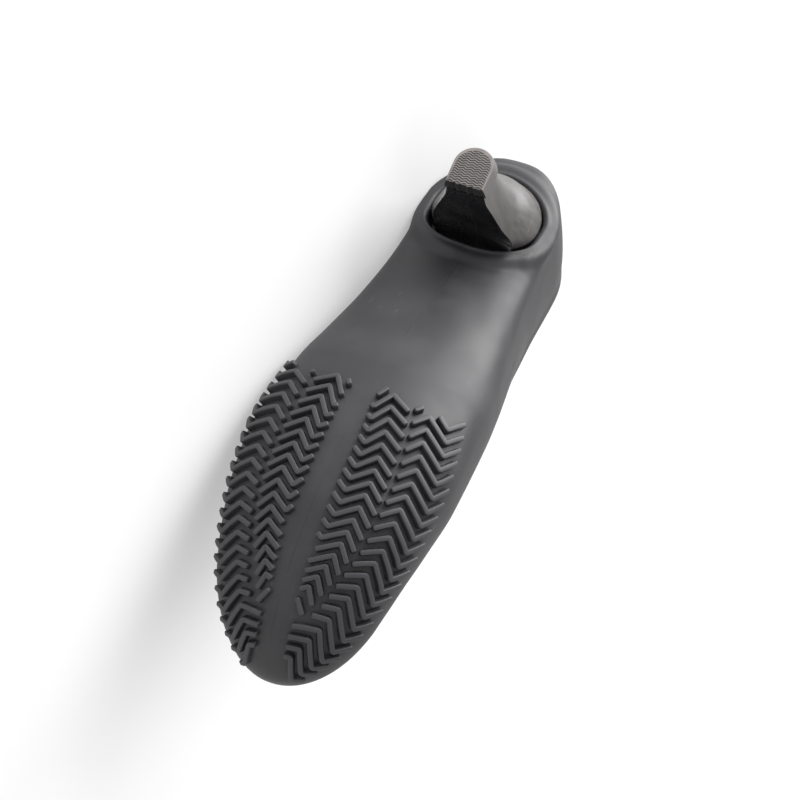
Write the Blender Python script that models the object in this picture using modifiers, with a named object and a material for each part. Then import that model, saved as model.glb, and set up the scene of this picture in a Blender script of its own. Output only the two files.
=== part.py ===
"""Heel shoe cover: a silicone overshoe moulded whole, with a herringbone tread under the
forefoot and a rimmed opening under the heel, through which a hard heel stands.

The shoe is drawn standing (+X to the toe, +Y to the wearer's left, +Z up, heel back at X 0, floor
at Z 0) and is then laid on its left side, on the points of its own hull that carry it.
"""

import math

import bmesh
import bpy
import numpy as np
from mathutils import Matrix, Vector

# Driving sizes, in metres
COVER_LENGTH = 0.242
BALL_WIDTH = 0.080
HEEL_HEIGHT = 0.047
INSTEP_HEIGHT = 0.078
WALL = 0.0018
SOLE_WALL = 0.0026
COLLAR_BEAD = 0.0008
COLLAR_BEAD_REACH = 0.006
FIT_GAP = 0.0003
SEAM_MERGE = 0.00001

# Sections of the outer form. station is a share of the length, width of the ball width, bottom of
# the heel height, belly and top of the instep height; edge is the roundness of the bottom corner
# (2 is an ellipse), and collar is how far up the side wall the collar is cut (1 closes the vamp).
SECTION_COLUMNS = ("station", "width", "bottom", "belly", "top", "edge", "collar")
SECTIONS = np.array([
    (0.000, 0.650, 1.245, 0.115, 1.859, 3.80, 0.62),
    (0.062, 0.657, 1.177, 0.115, 1.846, 3.80, 0.61),
    (0.145, 0.672, 1.064, 0.122, 1.769, 3.80, 0.58),
    (0.248, 0.700, 0.900, 0.160, 1.564, 3.30, 0.60),
    (0.351, 0.775, 0.660, 0.237, 1.359, 2.80, 0.72),
    (0.455, 0.882, 0.374, 0.301, 1.167, 2.50, 0.89),
    (0.521, 0.940, 0.200, 0.314, 1.051, 2.40, 1.00),
    (0.661, 0.990, 0.019, 0.288, 0.833, 2.35, 1.20),
    (0.744, 0.940, 0.000, 0.276, 0.731, 2.35, 1.30),
    (0.826, 0.845, 0.064, 0.269, 0.667, 2.30, 1.40),
    (0.917, 0.705, 0.266, 0.250, 0.667, 2.20, 1.50),
    (1.000, 0.613, 0.553, 0.141, 0.667, 2.10, 1.60),
])
THROAT_STATION = 0.521
CROWN_ROUNDNESS = 2.3

# Rounding of the form at its two ends
HEEL_PLAN_ROUND = 0.034
HEEL_EDGE_ROUND = 0.010
HEEL_EDGE_RISE = 0.008
TOE_PLAN_ROUND = 0.030
TOE_NOSE_ROUND = 0.016
TOE_NOSE_HEIGHT = 0.0385

# Mesh density of the moulding
REAR_STATIONS = 20
FRONT_STATIONS = 17
COLUMNS_PER_SIDE = 15
CORNER_SHARE = 0.5

# Heel opening in the underside and the raised rim round it
OPENING_CENTRE = 0.03365
OPENING_LENGTH = 0.0391
OPENING_WIDTH = 0.0450
OPENING_BACK_ROUNDNESS = 1.8
OPENING_FRONT_ROUNDNESS = 2.7
OPENING_POINTS = 48
RIM_PROFILE_COLUMNS = ("outward", "proud")
RIM_PROFILE = np.array([
    (-0.0010, -0.0015),
    (-0.0010, 0.0016),
    (0.0012, 0.0022),
    (0.0036, 0.0016),
    (0.0054, -0.0006),
    (0.0054, -0.0015),
])

# Herringbone tread: zigzag ribs in a block each side of a plain centre band. Distances from the
# toe are measured along the underside.
RIB_WIDTH = 0.0017
RIB_HEIGHT = 0.0015
RIB_ROOT = 0.0011
RIB_DRAFT = 0.0002
MIN_RIB_LENGTH = 0.0015
MIN_LEG = 0.0012
EDGE_SHARE = 0.975
EDGE_HOOK_REACH = 0.0044
EDGE_HOOK_RISE = 0.0052
# Rows of each column of ribs, by side (1 is left) and kind: first and last row, distance of row 0
# from the toe, pitch of the rows there, and how much the pitch grows from row to row
RIB_ROW_COLUMNS = ("first", "last", "row_zero", "pitch", "growth")
RIB_ROWS = {
    (1, "inner"): (0, 17, 0.03810, 0.00423, 0.0000797),
    (1, "outer"): (0, 20, 0.01635, 0.00440, 0.0000804),
    (-1, "inner"): (0, 17, 0.03875, 0.00413, 0.0000799),
    (-1, "outer"): (0, 20, 0.01716, 0.00447, 0.0000541),
}
# Zigzag of a rib by the place of its peak: half widths of the plain centre band, the inner corner,
# the peak and the outer corner, how far the two corners drop towards the toe, and the slope of the
# hook that turns back to the heel: an inner rib's beside the centre band, an outer rib's at the edge
RIB_SHAPE_COLUMNS = ("from_toe", "band", "inner", "inner_drop", "peak", "outer", "outer_drop", "hook")
RIB_SHAPES = {
    (1, "inner"): np.array([
        (0.038, 0.0040, -0.0018, 0.0043, 0.0046, 0.0070, 0.0061, 1.4),
        (0.047, 0.0046, 0.0021, 0.0043, 0.0085, 0.0102, 0.0060, 1.4),
        (0.060, 0.0052, 0.0057, 0.0044, 0.0121, 0.0155, 0.0060, 1.4),
        (0.080, 0.0059, 0.0086, 0.0052, 0.0147, 0.0202, 0.0058, 1.25),
        (0.100, 0.0062, 0.0094, 0.0064, 0.0146, 0.0214, 0.0053, 0.80),
        (0.116, 0.0064, 0.0077, 0.0078, 0.0129, 0.0203, 0.0049, 0.65),
        (0.126, 0.0066, 0.0064, 0.0087, 0.0117, 0.0194, 0.0045, 0.60),
    ]),
    (1, "outer"): np.array([
        (0.016, 0.0042, 0.0010, -0.0010, 0.0066, 0.0075, 0.0082, 0.4),
        (0.031, 0.0042, 0.0044, 0.0015, 0.0129, 0.0168, 0.0070, 0.7),
        (0.034, 0.0042, 0.0097, 0.0005, 0.0142, 0.0184, 0.0068, 0.7),
        (0.050, 0.0042, 0.0153, 0.0017, 0.0205, 0.0254, 0.0057, 0.8),
        (0.070, 0.0042, 0.0203, 0.0032, 0.0258, 0.0312, 0.0044, 1.0),
        (0.090, 0.0042, 0.0226, 0.0044, 0.0276, 0.0348, 0.0032, 1.5),
        (0.110, 0.0042, 0.0226, 0.0054, 0.0278, 0.0363, 0.0022, 2.0),
        (0.126, 0.0042, 0.0213, 0.0060, 0.0290, 0.0357, 0.0014, 2.0),
    ]),
    (-1, "inner"): np.array([
        (0.038, 0.0060, -0.0010, 0.0050, 0.0066, 0.0090, 0.0061, 0.7),
        (0.047, 0.0059, 0.0030, 0.0050, 0.0107, 0.0138, 0.0058, 0.7),
        (0.060, 0.0057, 0.0068, 0.0050, 0.0146, 0.0186, 0.0055, 0.7),
        (0.080, 0.0054, 0.0094, 0.0056, 0.0162, 0.0219, 0.0052, 0.7),
        (0.100, 0.0053, 0.0088, 0.0065, 0.0139, 0.0210, 0.0049, 0.7),
        (0.126, 0.0033, 0.0041, 0.0081, 0.0079, 0.0157, 0.0046, 0.6),
    ]),
    (-1, "outer"): np.array([
        (0.017, 0.0060, 0.0000, 0.0022, 0.0084, 0.0089, 0.0082, 0.4),
        (0.031, 0.0062, 0.0070, 0.0025, 0.0160, 0.0181, 0.0087, 0.7),
        (0.034, 0.0062, 0.0112, 0.0011, 0.0174, 0.0198, 0.0084, 0.7),
        (0.050, 0.0062, 0.0172, 0.0030, 0.0238, 0.0275, 0.0072, 0.8),
        (0.070, 0.0062, 0.0220, 0.0047, 0.0281, 0.0334, 0.0063, 1.0),
        (0.090, 0.0062, 0.0232, 0.0057, 0.0281, 0.0352, 0.0060, 1.5),
        (0.110, 0.0062, 0.0211, 0.0059, 0.0250, 0.0332, 0.0063, 2.0),
        (0.124, 0.0062, 0.0179, 0.0056, 0.0222, 0.0301, 0.0068, 2.0),
    ]),
}
# The short starts of the next row at the top of the blocks, moulded only between two half widths
RIB_NUB_COLUMNS = ("side", "kind", "row", "from_half", "to_half")
RIB_NUBS = (
    (1, "inner", 18, 0.0064, 0.0082),
    (1, "outer", 21, 0.0205, 0.0226),
    (1, "outer", 21, 0.0318, 0.0400),
    (-1, "inner", 18, 0.0041, 0.0066),
    (-1, "outer", 21, 0.0181, 0.0206),
    (-1, "outer", 21, 0.0262, 0.0400),
)

# Hard heel: level sections below the cover, from the rim down to the top lift. sway moves a section
# sideways and twist turns it, in degrees: the heel leans a little in the soft cover.
HEEL_SECTION_COLUMNS = ("height", "front", "back", "half_width", "breast_half", "breast_hollow", "sway", "twist")
HEEL_SECTIONS = np.array([
    (0.0400, 0.0475, 0.0212, 0.0182, 0.0168, 0.0015, -0.0003, 5.0),
    (0.0310, 0.0484, 0.0272, 0.0142, 0.0139, 0.0012, -0.0008, 4.0),
    (0.0200, 0.0498, 0.0316, 0.0107, 0.0105, 0.0008, -0.0014, 2.4),
    (0.0110, 0.0512, 0.0338, 0.0083, 0.0081, 0.0004, -0.0019, 1.0),
    (0.0053, 0.0520, 0.0349, 0.0077, 0.0075, 0.0000, -0.0023, 0.0),
])
NECK_CLEARANCE = 0.0009
NECK_FRONT = 0.0475
NECK_BREAST_HALF = 0.0166
NECK_TWIST = 5.5
SEAT_BREAST_HALF = 0.0168
SEAT_OVERLAP = 0.0010
SEAT_THICKNESS = 0.0030
SEAT_GAP = 0.0012
BACK_ARC_POINTS = 25
BREAST_POINTS = 7
TOP_LIFT_THICKNESS = 0.0050
TOP_LIFT_OVERHANG = 0.0009
TOP_LIFT_FLARE = 0.0010
TOP_LIFT_BEVEL = 0.0004

# Finishes: colour, roughness, metallic, and the density of each piece in kg per cubic metre
FINISHES = {
    "silicone": ((0.045, 0.045, 0.048, 1.0), 0.55, 0.0),
    "heel_wrap": ((0.030, 0.027, 0.026, 1.0), 0.35, 0.0),
    "top_lift_rubber": ((0.22, 0.20, 0.19, 1.0), 0.75, 0.0),
}
DENSITIES = {"cover_upper_and_sole": 1120.0, "heel_block": 1050.0, "heel_top_lift": 1150.0}


def clear_scene():
    """Empties the scene of its objects."""
    for obj in list(bpy.data.objects):
        bpy.data.objects.remove(obj)


def make_collection(name):
    """Returns a new collection of that name, linked to the scene."""
    collection = bpy.data.collections.new(name)
    bpy.context.scene.collection.children.link(collection)
    return collection


def make_material(name):
    """Returns a Principled material with the finish of that name."""
    colour, roughness, metallic = FINISHES[name]
    material = bpy.data.materials.new(name)
    material.use_nodes = True
    shader = material.node_tree.nodes["Principled BSDF"]
    shader.inputs["Base Color"].default_value = colour
    shader.inputs["Roughness"].default_value = roughness
    shader.inputs["Metallic"].default_value = metallic
    return material


def monotone_cubic(knots, values, x):
    """Smooth curve through the knots that never overshoots them."""
    step = np.diff(knots)
    slope = np.diff(values) / step
    turn = slope[:-1] * slope[1:] <= 0
    weight_a = 2 * step[1:] + step[:-1]
    weight_b = step[1:] + 2 * step[:-1]
    safe = np.where(turn[:, None], 1.0, np.stack([slope[:-1], slope[1:]], axis=1))
    inner = np.where(turn, 0.0, (weight_a + weight_b) / (weight_a / safe[:, 0] + weight_b / safe[:, 1]))
    tangent = np.concatenate([slope[:1], inner, slope[-1:]])
    x = np.clip(x, knots[0], knots[-1])
    i = np.clip(np.searchsorted(knots, x) - 1, 0, len(step) - 1)
    t = (x - knots[i]) / step[i]
    rise = values[i] * (1 + 2 * t) * (1 - t) ** 2 + values[i + 1] * t * t * (3 - 2 * t)
    return rise + step[i] * (tangent[i] * t * (1 - t) ** 2 - tangent[i + 1] * t * t * (1 - t))


def column(name, x):
    """One column of the section table at the lengthwise places x."""
    index = SECTION_COLUMNS.index(name)
    return monotone_cubic(SECTIONS[:, 0] * COVER_LENGTH, SECTIONS[:, index], np.asarray(x, float))


def end_round(distance, reach):
    """Quarter circle: 0 at an end of the form, 1 at reach from it and beyond."""
    t = np.clip(np.asarray(distance, float) / reach, 0.0, 1.0)
    return np.sqrt(np.clip(1.0 - (1.0 - t) ** 2, 0.0, 1.0))


def half_width(x):
    """Half width of the outer form at its widest line."""
    ends = end_round(x, HEEL_PLAN_ROUND) * end_round(COVER_LENGTH - x, TOE_PLAN_ROUND)
    return BALL_WIDTH / 2 * column("width", x) * ends


def to_nose(height, x):
    """A height drawn in to the nose of the toe near the tip."""
    return TOE_NOSE_HEIGHT + (height - TOE_NOSE_HEIGHT) * end_round(COVER_LENGTH - x, TOE_NOSE_ROUND)


def bottom_line(x):
    """Height of the underside on the centre line."""
    heel_edge = HEEL_EDGE_RISE * (1.0 - end_round(x, HEEL_EDGE_ROUND))
    return to_nose(HEEL_HEIGHT * column("bottom", x) + heel_edge, x)


def widest_line(x):
    """Height at which the form is widest."""
    return to_nose(HEEL_HEIGHT * column("bottom", x) + INSTEP_HEIGHT * column("belly", x), x)


def top_line(x):
    """Height of the crown on the centre line, above the collar where the form is open."""
    return to_nose(INSTEP_HEIGHT * column("top", x), x)


def bottom_height(x, y):
    """Height of the outer underside at x and y, up to the widest line."""
    share = np.clip(np.abs(y) / np.maximum(half_width(x), 1e-6), 0.0, 1.0)
    edge = column("edge", x)
    drop = (1.0 - share ** edge) ** (1.0 / edge)
    return widest_line(x) - (widest_line(x) - bottom_line(x)) * drop


def half_section(x, count):
    """Points along the half section at x, from the bottom centre to the collar edge or crown: a
    quarter superellipse below the widest line and another above it, with the points closer
    together where it bends. The third value is each point's distance from the end."""
    turn = np.linspace(0.0, math.pi / 2, 160)
    edge = 2.0 / column("edge", x)
    crown = 2.0 / CROWN_ROUNDNESS
    width, low, wide, top = half_width(x), bottom_line(x), widest_line(x), top_line(x)
    cut = min(1.0, float(column("collar", x)))
    collar_turn = math.asin(cut ** (CROWN_ROUNDNESS / 2))
    rise = np.linspace(0.0, collar_turn, 160)
    across = np.concatenate([width * np.sin(turn) ** edge, (width * np.cos(rise).clip(0) ** crown)[1:]])
    up = np.concatenate([wide - (wide - low) * np.cos(turn).clip(0) ** edge,
                         (wide + (top - wide) * np.sin(rise) ** crown)[1:]])
    run_across, run_up = np.diff(across), np.diff(up)
    length = np.concatenate([[0.0], np.cumsum(np.hypot(run_across, run_up))])
    bend = np.abs(np.diff(np.unwrap(np.arctan2(run_up, run_across)), prepend=0.0))
    bent = np.concatenate([[0.0], np.cumsum(bend)]) / max(bend.sum(), 1e-9)
    measure = length + CORNER_SHARE * length[-1] * bent
    even = np.linspace(0.0, measure[-1], count)
    to_collar = length[-1] - np.interp(even, measure, length)
    return np.interp(even, measure, across), np.interp(even, measure, up), to_collar


def station_places():
    """Lengthwise places of the sections, closer together at the heel, throat and toe."""
    throat = THROAT_STATION * COVER_LENGTH
    rear = throat * (1 - np.cos(np.linspace(0, math.pi, REAR_STATIONS + 1))) / 2
    front = throat + (COVER_LENGTH - throat) * np.sin(np.linspace(0, math.pi / 2, FRONT_STATIONS + 1))
    return np.concatenate([rear, front[1:]])


def smooth_step(low, high, value):
    """0 below low, 1 above high, smooth between."""
    t = np.clip((value - low) / (high - low), 0.0, 1.0)
    return t * t * (3 - 2 * t)


def link_mesh(name, collection, material, bm):
    """Makes an object of the bmesh, with the faces of a closed form turned out."""
    mesh = bpy.data.meshes.new(name)
    if not any(edge.is_boundary for edge in bm.edges):
        bmesh.ops.recalc_face_normals(bm, faces=bm.faces)
    bm.to_mesh(mesh)
    bm.free()
    if material:
        mesh.materials.append(material)
    mesh.shade_smooth()
    mesh.set_sharp_from_angle(angle=math.radians(40))
    obj = bpy.data.objects.new(name, mesh)
    collection.objects.link(obj)
    return obj


def loft(rings, closed, capped=False):
    """A bmesh through rings of points; closed rings join end to start, and caps fill both ends."""
    bm = bmesh.new()
    rows = [[bm.verts.new(point) for point in ring] for ring in rings]
    count = len(rows[0])
    for low, high in zip(rows, rows[1:]):
        for j in range(count if closed else count - 1):
            k = (j + 1) % count
            bm.faces.new((low[j], high[j], high[k], low[k]))
    if capped:
        bm.faces.new(rows[0])
        bm.faces.new(rows[-1])
    return bm


def build_shell(collection, material):
    """The moulding's plain wall: the outer form, open at the collar, thickened inwards."""
    rings = []
    wall_shares = []
    for x in station_places():
        across, up, to_collar = half_section(x, COLUMNS_PER_SIDE + 1)
        open_here = column("collar", x) < 1.0
        bead = COLLAR_BEAD * (1 - smooth_step(0.0, COLLAR_BEAD_REACH, to_collar)) if open_here else 0.0 * across
        across = across + bead * (across > COLLAR_BEAD)
        side = smooth_step(bottom_line(x), widest_line(x) + COLLAR_BEAD, up)
        thickness = SOLE_WALL + (WALL - SOLE_WALL) * side + bead
        left = [(x, y, z) for y, z in zip(across[::-1], up[::-1])]
        right = [(x, -y, z) for y, z in zip(across[1:], up[1:])]
        rings.append(left + right)
        wall_shares.append(np.concatenate([thickness[::-1], thickness[1:]]))
    bm = loft(rings, closed=False)
    layer = bm.verts.layers.deform.verify()
    for vert, thickness in zip(bm.verts, np.concatenate(wall_shares)):
        vert[layer][0] = float(thickness / SOLE_WALL)
    bmesh.ops.remove_doubles(bm, verts=bm.verts, dist=1e-5)
    bmesh.ops.dissolve_degenerate(bm, edges=bm.edges, dist=1e-6)
    shell = link_mesh("cover_upper_and_sole", collection, material, bm)
    shell.vertex_groups.new(name="wall")
    solidify = shell.modifiers.new("wall", "SOLIDIFY")
    solidify.thickness = SOLE_WALL
    solidify.offset = -1.0
    solidify.vertex_group = "wall"
    return shell


def opening_outline(outward):
    """Outline of the heel opening grown by outward, as x and y."""
    turn = np.linspace(0, 2 * math.pi, OPENING_POINTS, endpoint=False)
    power = 2.0 / np.where(np.cos(turn) > 0, OPENING_FRONT_ROUNDNESS, OPENING_BACK_ROUNDNESS)
    reach = np.array([OPENING_LENGTH / 2, OPENING_WIDTH / 2]) + outward
    x = OPENING_CENTRE + reach[0] * np.sign(np.cos(turn)) * np.abs(np.cos(turn)) ** power
    y = reach[1] * np.sign(np.sin(turn)) * np.abs(np.sin(turn)) ** power
    return x, y


def build_rim(collection):
    """The raised rim round the heel opening, sunk into the wall that it is moulded with."""
    rings = []
    for outward, proud in RIM_PROFILE:
        x, y = opening_outline(outward)
        y = np.clip(y, -EDGE_SHARE * half_width(x), EDGE_SHARE * half_width(x))
        rings.append(list(zip(x, y, bottom_height(x, y) - proud)))
    rings.append(rings[0])
    bm = loft(rings, closed=True)
    bmesh.ops.remove_doubles(bm, verts=bm.verts, dist=1e-6)
    return link_mesh("rim_form", collection, None, bm)


def build_opening_cutter(collection):
    """A straight plug of the opening's outline, longer than the wall is thick."""
    x, y = opening_outline(0.0)
    levels = (bottom_line(OPENING_CENTRE) - 0.012, bottom_line(OPENING_CENTRE) + 0.012)
    bm = loft([list(zip(x, y, np.full_like(x, level))) for level in levels], closed=True, capped=True)
    return link_mesh("opening_cutter", collection, None, bm)


def sole_lengths():
    """Places along the underside and their distance from the toe tip, measured on the surface."""
    x = np.linspace(COVER_LENGTH, THROAT_STATION * COVER_LENGTH * 0.6, 600)
    run = np.concatenate([[0.0], np.cumsum(np.hypot(np.diff(x), np.diff(bottom_line(x))))])
    return run, x


def underside_slopes(x, y):
    """Rise of the underside along x and along y."""
    step = 2e-4
    slope_x = (bottom_height(x + step, y) - bottom_height(x - step, y)) / (2 * step)
    slope_y = (bottom_height(x, y + step) - bottom_height(x, y - step)) / (2 * step)
    return slope_x, slope_y


def inner_height(x, y):
    """Height of the inside of the sole at x and y."""
    slope_x, slope_y = underside_slopes(x, y)
    return bottom_height(x, y) + SOLE_WALL * np.sqrt(1 + slope_x ** 2 + slope_y ** 2)


def underside_frame(x, y):
    """Point and outward normal of the underside at x and y."""
    slope_x, slope_y = underside_slopes(x, y)
    normal = Vector((float(slope_x), float(slope_y), -1.0)).normalized()
    return Vector((float(x), float(y), float(bottom_height(x, y)))), normal


def row_run(row, row_zero, pitch, growth):
    """Distance of a row's peaks from the toe: the pitch grows evenly from row to row."""
    return row_zero + row * pitch + row * (row - 1) / 2 * growth


def rib_corners(side, kind, row, lengths):
    """Corners of a rib from the centre band outwards, as distances from the toe and half widths, and
    the band's half width there."""
    run = row_run(row, *RIB_ROWS[side, kind][2:])
    table = RIB_SHAPES[side, kind]
    sizes = [float(monotone_cubic(table[:, 0], table[:, k], run)) for k in range(1, table.shape[1])]
    band, inner, inner_drop, peak, outer, outer_drop, hook = sizes
    corners = [(run - inner_drop, inner), (run, peak), (run - outer_drop, outer)]
    if kind == "outer":
        room = EDGE_SHARE * half_width(np.interp(run - outer_drop, *lengths)) - outer
        reach = min(EDGE_HOOK_REACH, EDGE_HOOK_RISE / hook, room)
        if reach > MIN_LEG:
            corners.append((run - outer_drop + hook * reach, outer + reach))
    elif inner - band > MIN_LEG:
        corners.insert(0, (run - inner_drop + hook * (inner - band), band))
    return np.array(corners), band


def rib_path(side, kind, row, lengths, limits):
    """Points of one zigzag rib on the underside between two half widths, from the edge of the plain
    centre band outwards: its start, its corners and its end."""
    corners, band = rib_corners(side, kind, row, lengths)
    along, across = corners.T
    start = max(limits[0], band, across[0])
    end = min(limits[1], across[-1])
    places = [start, *[place for place in across if start + MIN_LEG < place < end - MIN_LEG], end]
    x = np.interp(np.interp(places, across, along), *lengths)
    return list(zip(x, side * np.minimum(places, EDGE_SHARE * half_width(x))))


def rib_rings(path):
    """Rings of the bar that follows a rib's path, square to it and sunk into the wall."""
    frames = [underside_frame(x, y) for x, y in path]
    rings = []
    for i, (point, normal) in enumerate(frames):
        before = frames[max(i - 1, 0)][0]
        after = frames[min(i + 1, len(frames) - 1)][0]
        legs = [(b - a).normalized() for a, b in ((before, point), (point, after)) if (b - a).length > 1e-6]
        along = sum(legs, Vector()).normalized()
        mitre = 1.0 / max(0.5, along.dot(legs[0]))
        across = normal.cross(along).normalized() * (RIB_WIDTH / 2 * mitre)
        spread = 1.0 + 2 * RIB_DRAFT / RIB_WIDTH
        root = point - normal * RIB_ROOT
        crest = point + normal * RIB_HEIGHT
        rings.append([root + across * spread, crest + across, crest - across, root - across * spread])
    return rings


def tread_paths(lengths):
    """Paths of all the ribs: the rows of each column, then the short starts of the next row."""
    paths = []
    for (side, kind), (first, last, *_) in RIB_ROWS.items():
        for row in range(first, last + 1):
            paths.append(rib_path(side, kind, row, lengths, (0.0, BALL_WIDTH)))
    for side, kind, row, start, end in RIB_NUBS:
        paths.append(rib_path(side, kind, row, lengths, (start, end)))
    return paths


def build_tread(collection):
    """All the tread ribs as one form of separate bars."""
    lengths = sole_lengths()
    tread = bmesh.new()
    for path in tread_paths(lengths):
        if len(path) < 2 or math.dist(path[0], path[-1]) < MIN_RIB_LENGTH:
            continue
        bar = loft(rib_rings(path), closed=True, capped=True)
        bmesh.ops.recalc_face_normals(bar, faces=bar.faces)
        mesh = bpy.data.meshes.new("rib")
        bar.to_mesh(mesh)
        bar.free()
        tread.from_mesh(mesh)
        bpy.data.meshes.remove(mesh)
    return link_mesh("tread_form", collection, None, tread)


def add_boolean(obj, tool, operation):
    """Joins or cuts obj with a tool, which is then shown as wire and left out of the model."""
    boolean = obj.modifiers.new(tool.name, "BOOLEAN")
    boolean.operation = operation
    boolean.object = tool
    boolean.solver = "EXACT"
    tool.hide_render = True
    tool.display_type = "WIRE"


def build_cover(parts, cutters, material):
    """The one-piece silicone moulding: wall, rim, heel opening and tread."""
    shell = build_shell(parts, material)
    add_boolean(shell, build_tread(cutters), "UNION")
    add_boolean(shell, build_rim(cutters), "UNION")
    add_boolean(shell, build_opening_cutter(cutters), "DIFFERENCE")
    shell.modifiers.new("seams", "WELD").merge_threshold = SEAM_MERGE
    facets = shell.modifiers.new("facets", "TRIANGULATE")
    facets.quad_method = "BEAUTY"
    facets.ngon_method = "BEAUTY"
    return shell


def heel_outline(front, back, half, breast_half, hollow):
    """Outline of a heel section: an arc round the back from one breast corner to the other, then
    the breast, hollowed by hollow (or swelling forwards where it is negative)."""
    widest = back + half
    corner_turn = math.acos(breast_half / half)
    turn = np.linspace(math.pi / 2 - corner_turn, math.pi * 1.5 + corner_turn, BACK_ARC_POINTS)
    reach = np.where(np.cos(turn) > 0, (front - widest) / math.sin(corner_turn), half)
    arc_x = widest + reach * np.cos(turn)
    arc_y = half * np.sin(turn)
    share = np.linspace(-1, 1, BREAST_POINTS + 2)[1:-1]
    breast_x = front - hollow * (1 - share ** 2)
    return np.concatenate([arc_x, breast_x]), np.concatenate([arc_y, share * breast_half])


def leaning(outline, sway, twist):
    """An outline turned about the middle of the opening by twist degrees and moved sideways."""
    x, y = outline
    turn = math.radians(twist)
    ahead = x - OPENING_CENTRE
    turned_x = OPENING_CENTRE + ahead * math.cos(turn) - y * math.sin(turn)
    return turned_x, ahead * math.sin(turn) + y * math.cos(turn) + sway


def neck_outline(outward, front, breast_half, hollow):
    """Outline of the heel where it passes the opening: the opening's own outline grown by outward
    round the back, and the breast or seat edge in front."""
    back = OPENING_CENTRE - OPENING_LENGTH / 2 - outward
    return heel_outline(front, back, OPENING_WIDTH / 2 + outward, breast_half, hollow)


def build_heel(parts, material):
    """The hard heel: a seat inside the cover, a neck through the opening and a tapering stem."""
    seat_front = OPENING_CENTRE + OPENING_LENGTH / 2 - 0.004
    seat_bulge = -(0.004 + SEAT_OVERLAP)
    seat = neck_outline(SEAT_OVERLAP, seat_front, SEAT_BREAST_HALF, seat_bulge)
    neck = leaning(neck_outline(-NECK_CLEARANCE, NECK_FRONT, NECK_BREAST_HALF, 0.001), 0.0, NECK_TWIST)
    levels = [
        (seat, inner_height(*seat) + SEAT_GAP + SEAT_THICKNESS),
        (seat, inner_height(*seat) + SEAT_GAP),
        (neck, inner_height(*neck) + SEAT_GAP),
        (neck, bottom_height(*neck) - RIM_PROFILE[:, 1].max()),
    ]
    rings = [list(zip(x, y, z)) for (x, y), z in levels]
    for height, *sizes, sway, twist in HEEL_SECTIONS:
        x, y = leaning(heel_outline(*sizes), sway, twist)
        rings.append(list(zip(x, y, np.full_like(x, height))))
    bm = loft(rings, closed=True, capped=True)
    return link_mesh("heel_block", parts, material, bm)


def build_top_lift(parts, material):
    """The rubber top lift under the heel, flat where it meets the ground and flared to its top."""
    height, front, back, half, breast_half, hollow, sway, twist = HEEL_SECTIONS[-1]
    top = height - FIT_GAP
    levels = ((top, TOP_LIFT_OVERHANG), (top - TOP_LIFT_THICKNESS, TOP_LIFT_OVERHANG - TOP_LIFT_FLARE))
    rings = []
    for level, grow in levels:
        outline = heel_outline(front + min(grow, 0.0), back - grow, half + grow, breast_half + grow, hollow)
        x, y = leaning(outline, sway, twist)
        rings.append(list(zip(x, y, np.full_like(x, level))))
    bm = loft(rings, closed=True, capped=True)
    lift = link_mesh("heel_top_lift", parts, material, bm)
    bevel = lift.modifiers.new("edge", "BEVEL")
    bevel.width = TOP_LIFT_BEVEL
    bevel.segments = 2
    bevel.limit_method = "ANGLE"
    bevel.angle_limit = math.radians(50)
    return lift


def evaluated_triangles(obj):
    """Corner points of the object's evaluated triangles, as an array of n by 3 by 3."""
    graph = bpy.context.evaluated_depsgraph_get()
    evaluated = obj.evaluated_get(graph)
    mesh = evaluated.to_mesh()
    mesh.calc_loop_triangles()
    points = np.empty(len(mesh.vertices) * 3)
    mesh.vertices.foreach_get("co", points)
    corners = np.empty(len(mesh.loop_triangles) * 3, int)
    mesh.loop_triangles.foreach_get("vertices", corners)
    evaluated.to_mesh_clear()
    return points.reshape(-1, 3)[corners.reshape(-1, 3)]


def centre_of_mass(triangles):
    """Centre of mass of the pieces, from the tetrahedra between their faces and the origin."""
    total, moment = 0.0, np.zeros(3)
    for name, corners in triangles.items():
        mass = np.linalg.det(corners) / 6 * DENSITIES[name]
        total += mass.sum()
        moment += (mass[:, None] * corners.sum(axis=1) / 4).sum(axis=0)
    return Vector(moment / total)


def resting_face(triangles):
    """Normal and a corner of the hull face on the left side that carries the centre of mass."""
    centre = centre_of_mass(triangles)
    bm = bmesh.new()
    for point in np.unique(np.concatenate(list(triangles.values())).reshape(-1, 3).round(6), axis=0):
        bm.verts.new(point)
    hull = bmesh.ops.convex_hull(bm, input=bm.verts)["geom"]
    faces = [item for item in hull if isinstance(item, bmesh.types.BMFace)]
    bmesh.ops.recalc_face_normals(bm, faces=faces)
    best = None
    for face in faces:
        a, b, c = (vert.co for vert in face.verts[:3])
        foot = centre - face.normal * (centre - a).dot(face.normal)
        inside = all((q - p).cross(foot - p).dot(face.normal) > 0 for p, q in ((a, b), (b, c), (c, a)))
        if inside and (best is None or face.normal.y > best[0].y):
            best = (face.normal.copy(), a.copy())
    bm.free()
    return best


def lay_on_side(objects, cutters, collection):
    """Parents the pieces and their cutters to an empty that turns the shoe onto its left side, sole towards -Y and
    toe towards +X, with the resting face on the floor under the middle of the shoe."""
    triangles = {obj.name: evaluated_triangles(obj) for obj in objects}
    normal, _ = resting_face(triangles)
    floor_turn = normal.rotation_difference(Vector((0, 0, -1))).to_matrix()
    toe = floor_turn @ Vector((1, 0, 0))
    heading = Matrix.Rotation(-math.atan2(toe.y, toe.x), 3, "Z")
    turn = heading @ floor_turn
    points = np.concatenate(list(triangles.values())).reshape(-1, 3) @ np.array(turn).T
    low, high = points.min(axis=0), points.max(axis=0)
    place = Vector((-(low[0] + high[0]) / 2, -(low[1] + high[1]) / 2, -low[2]))
    rest = bpy.data.objects.new("resting_pose", None)
    rest.matrix_world = Matrix.Translation(place) @ turn.to_4x4()
    collection.objects.link(rest)
    for obj in (*objects, *cutters):
        obj.parent = rest


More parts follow.
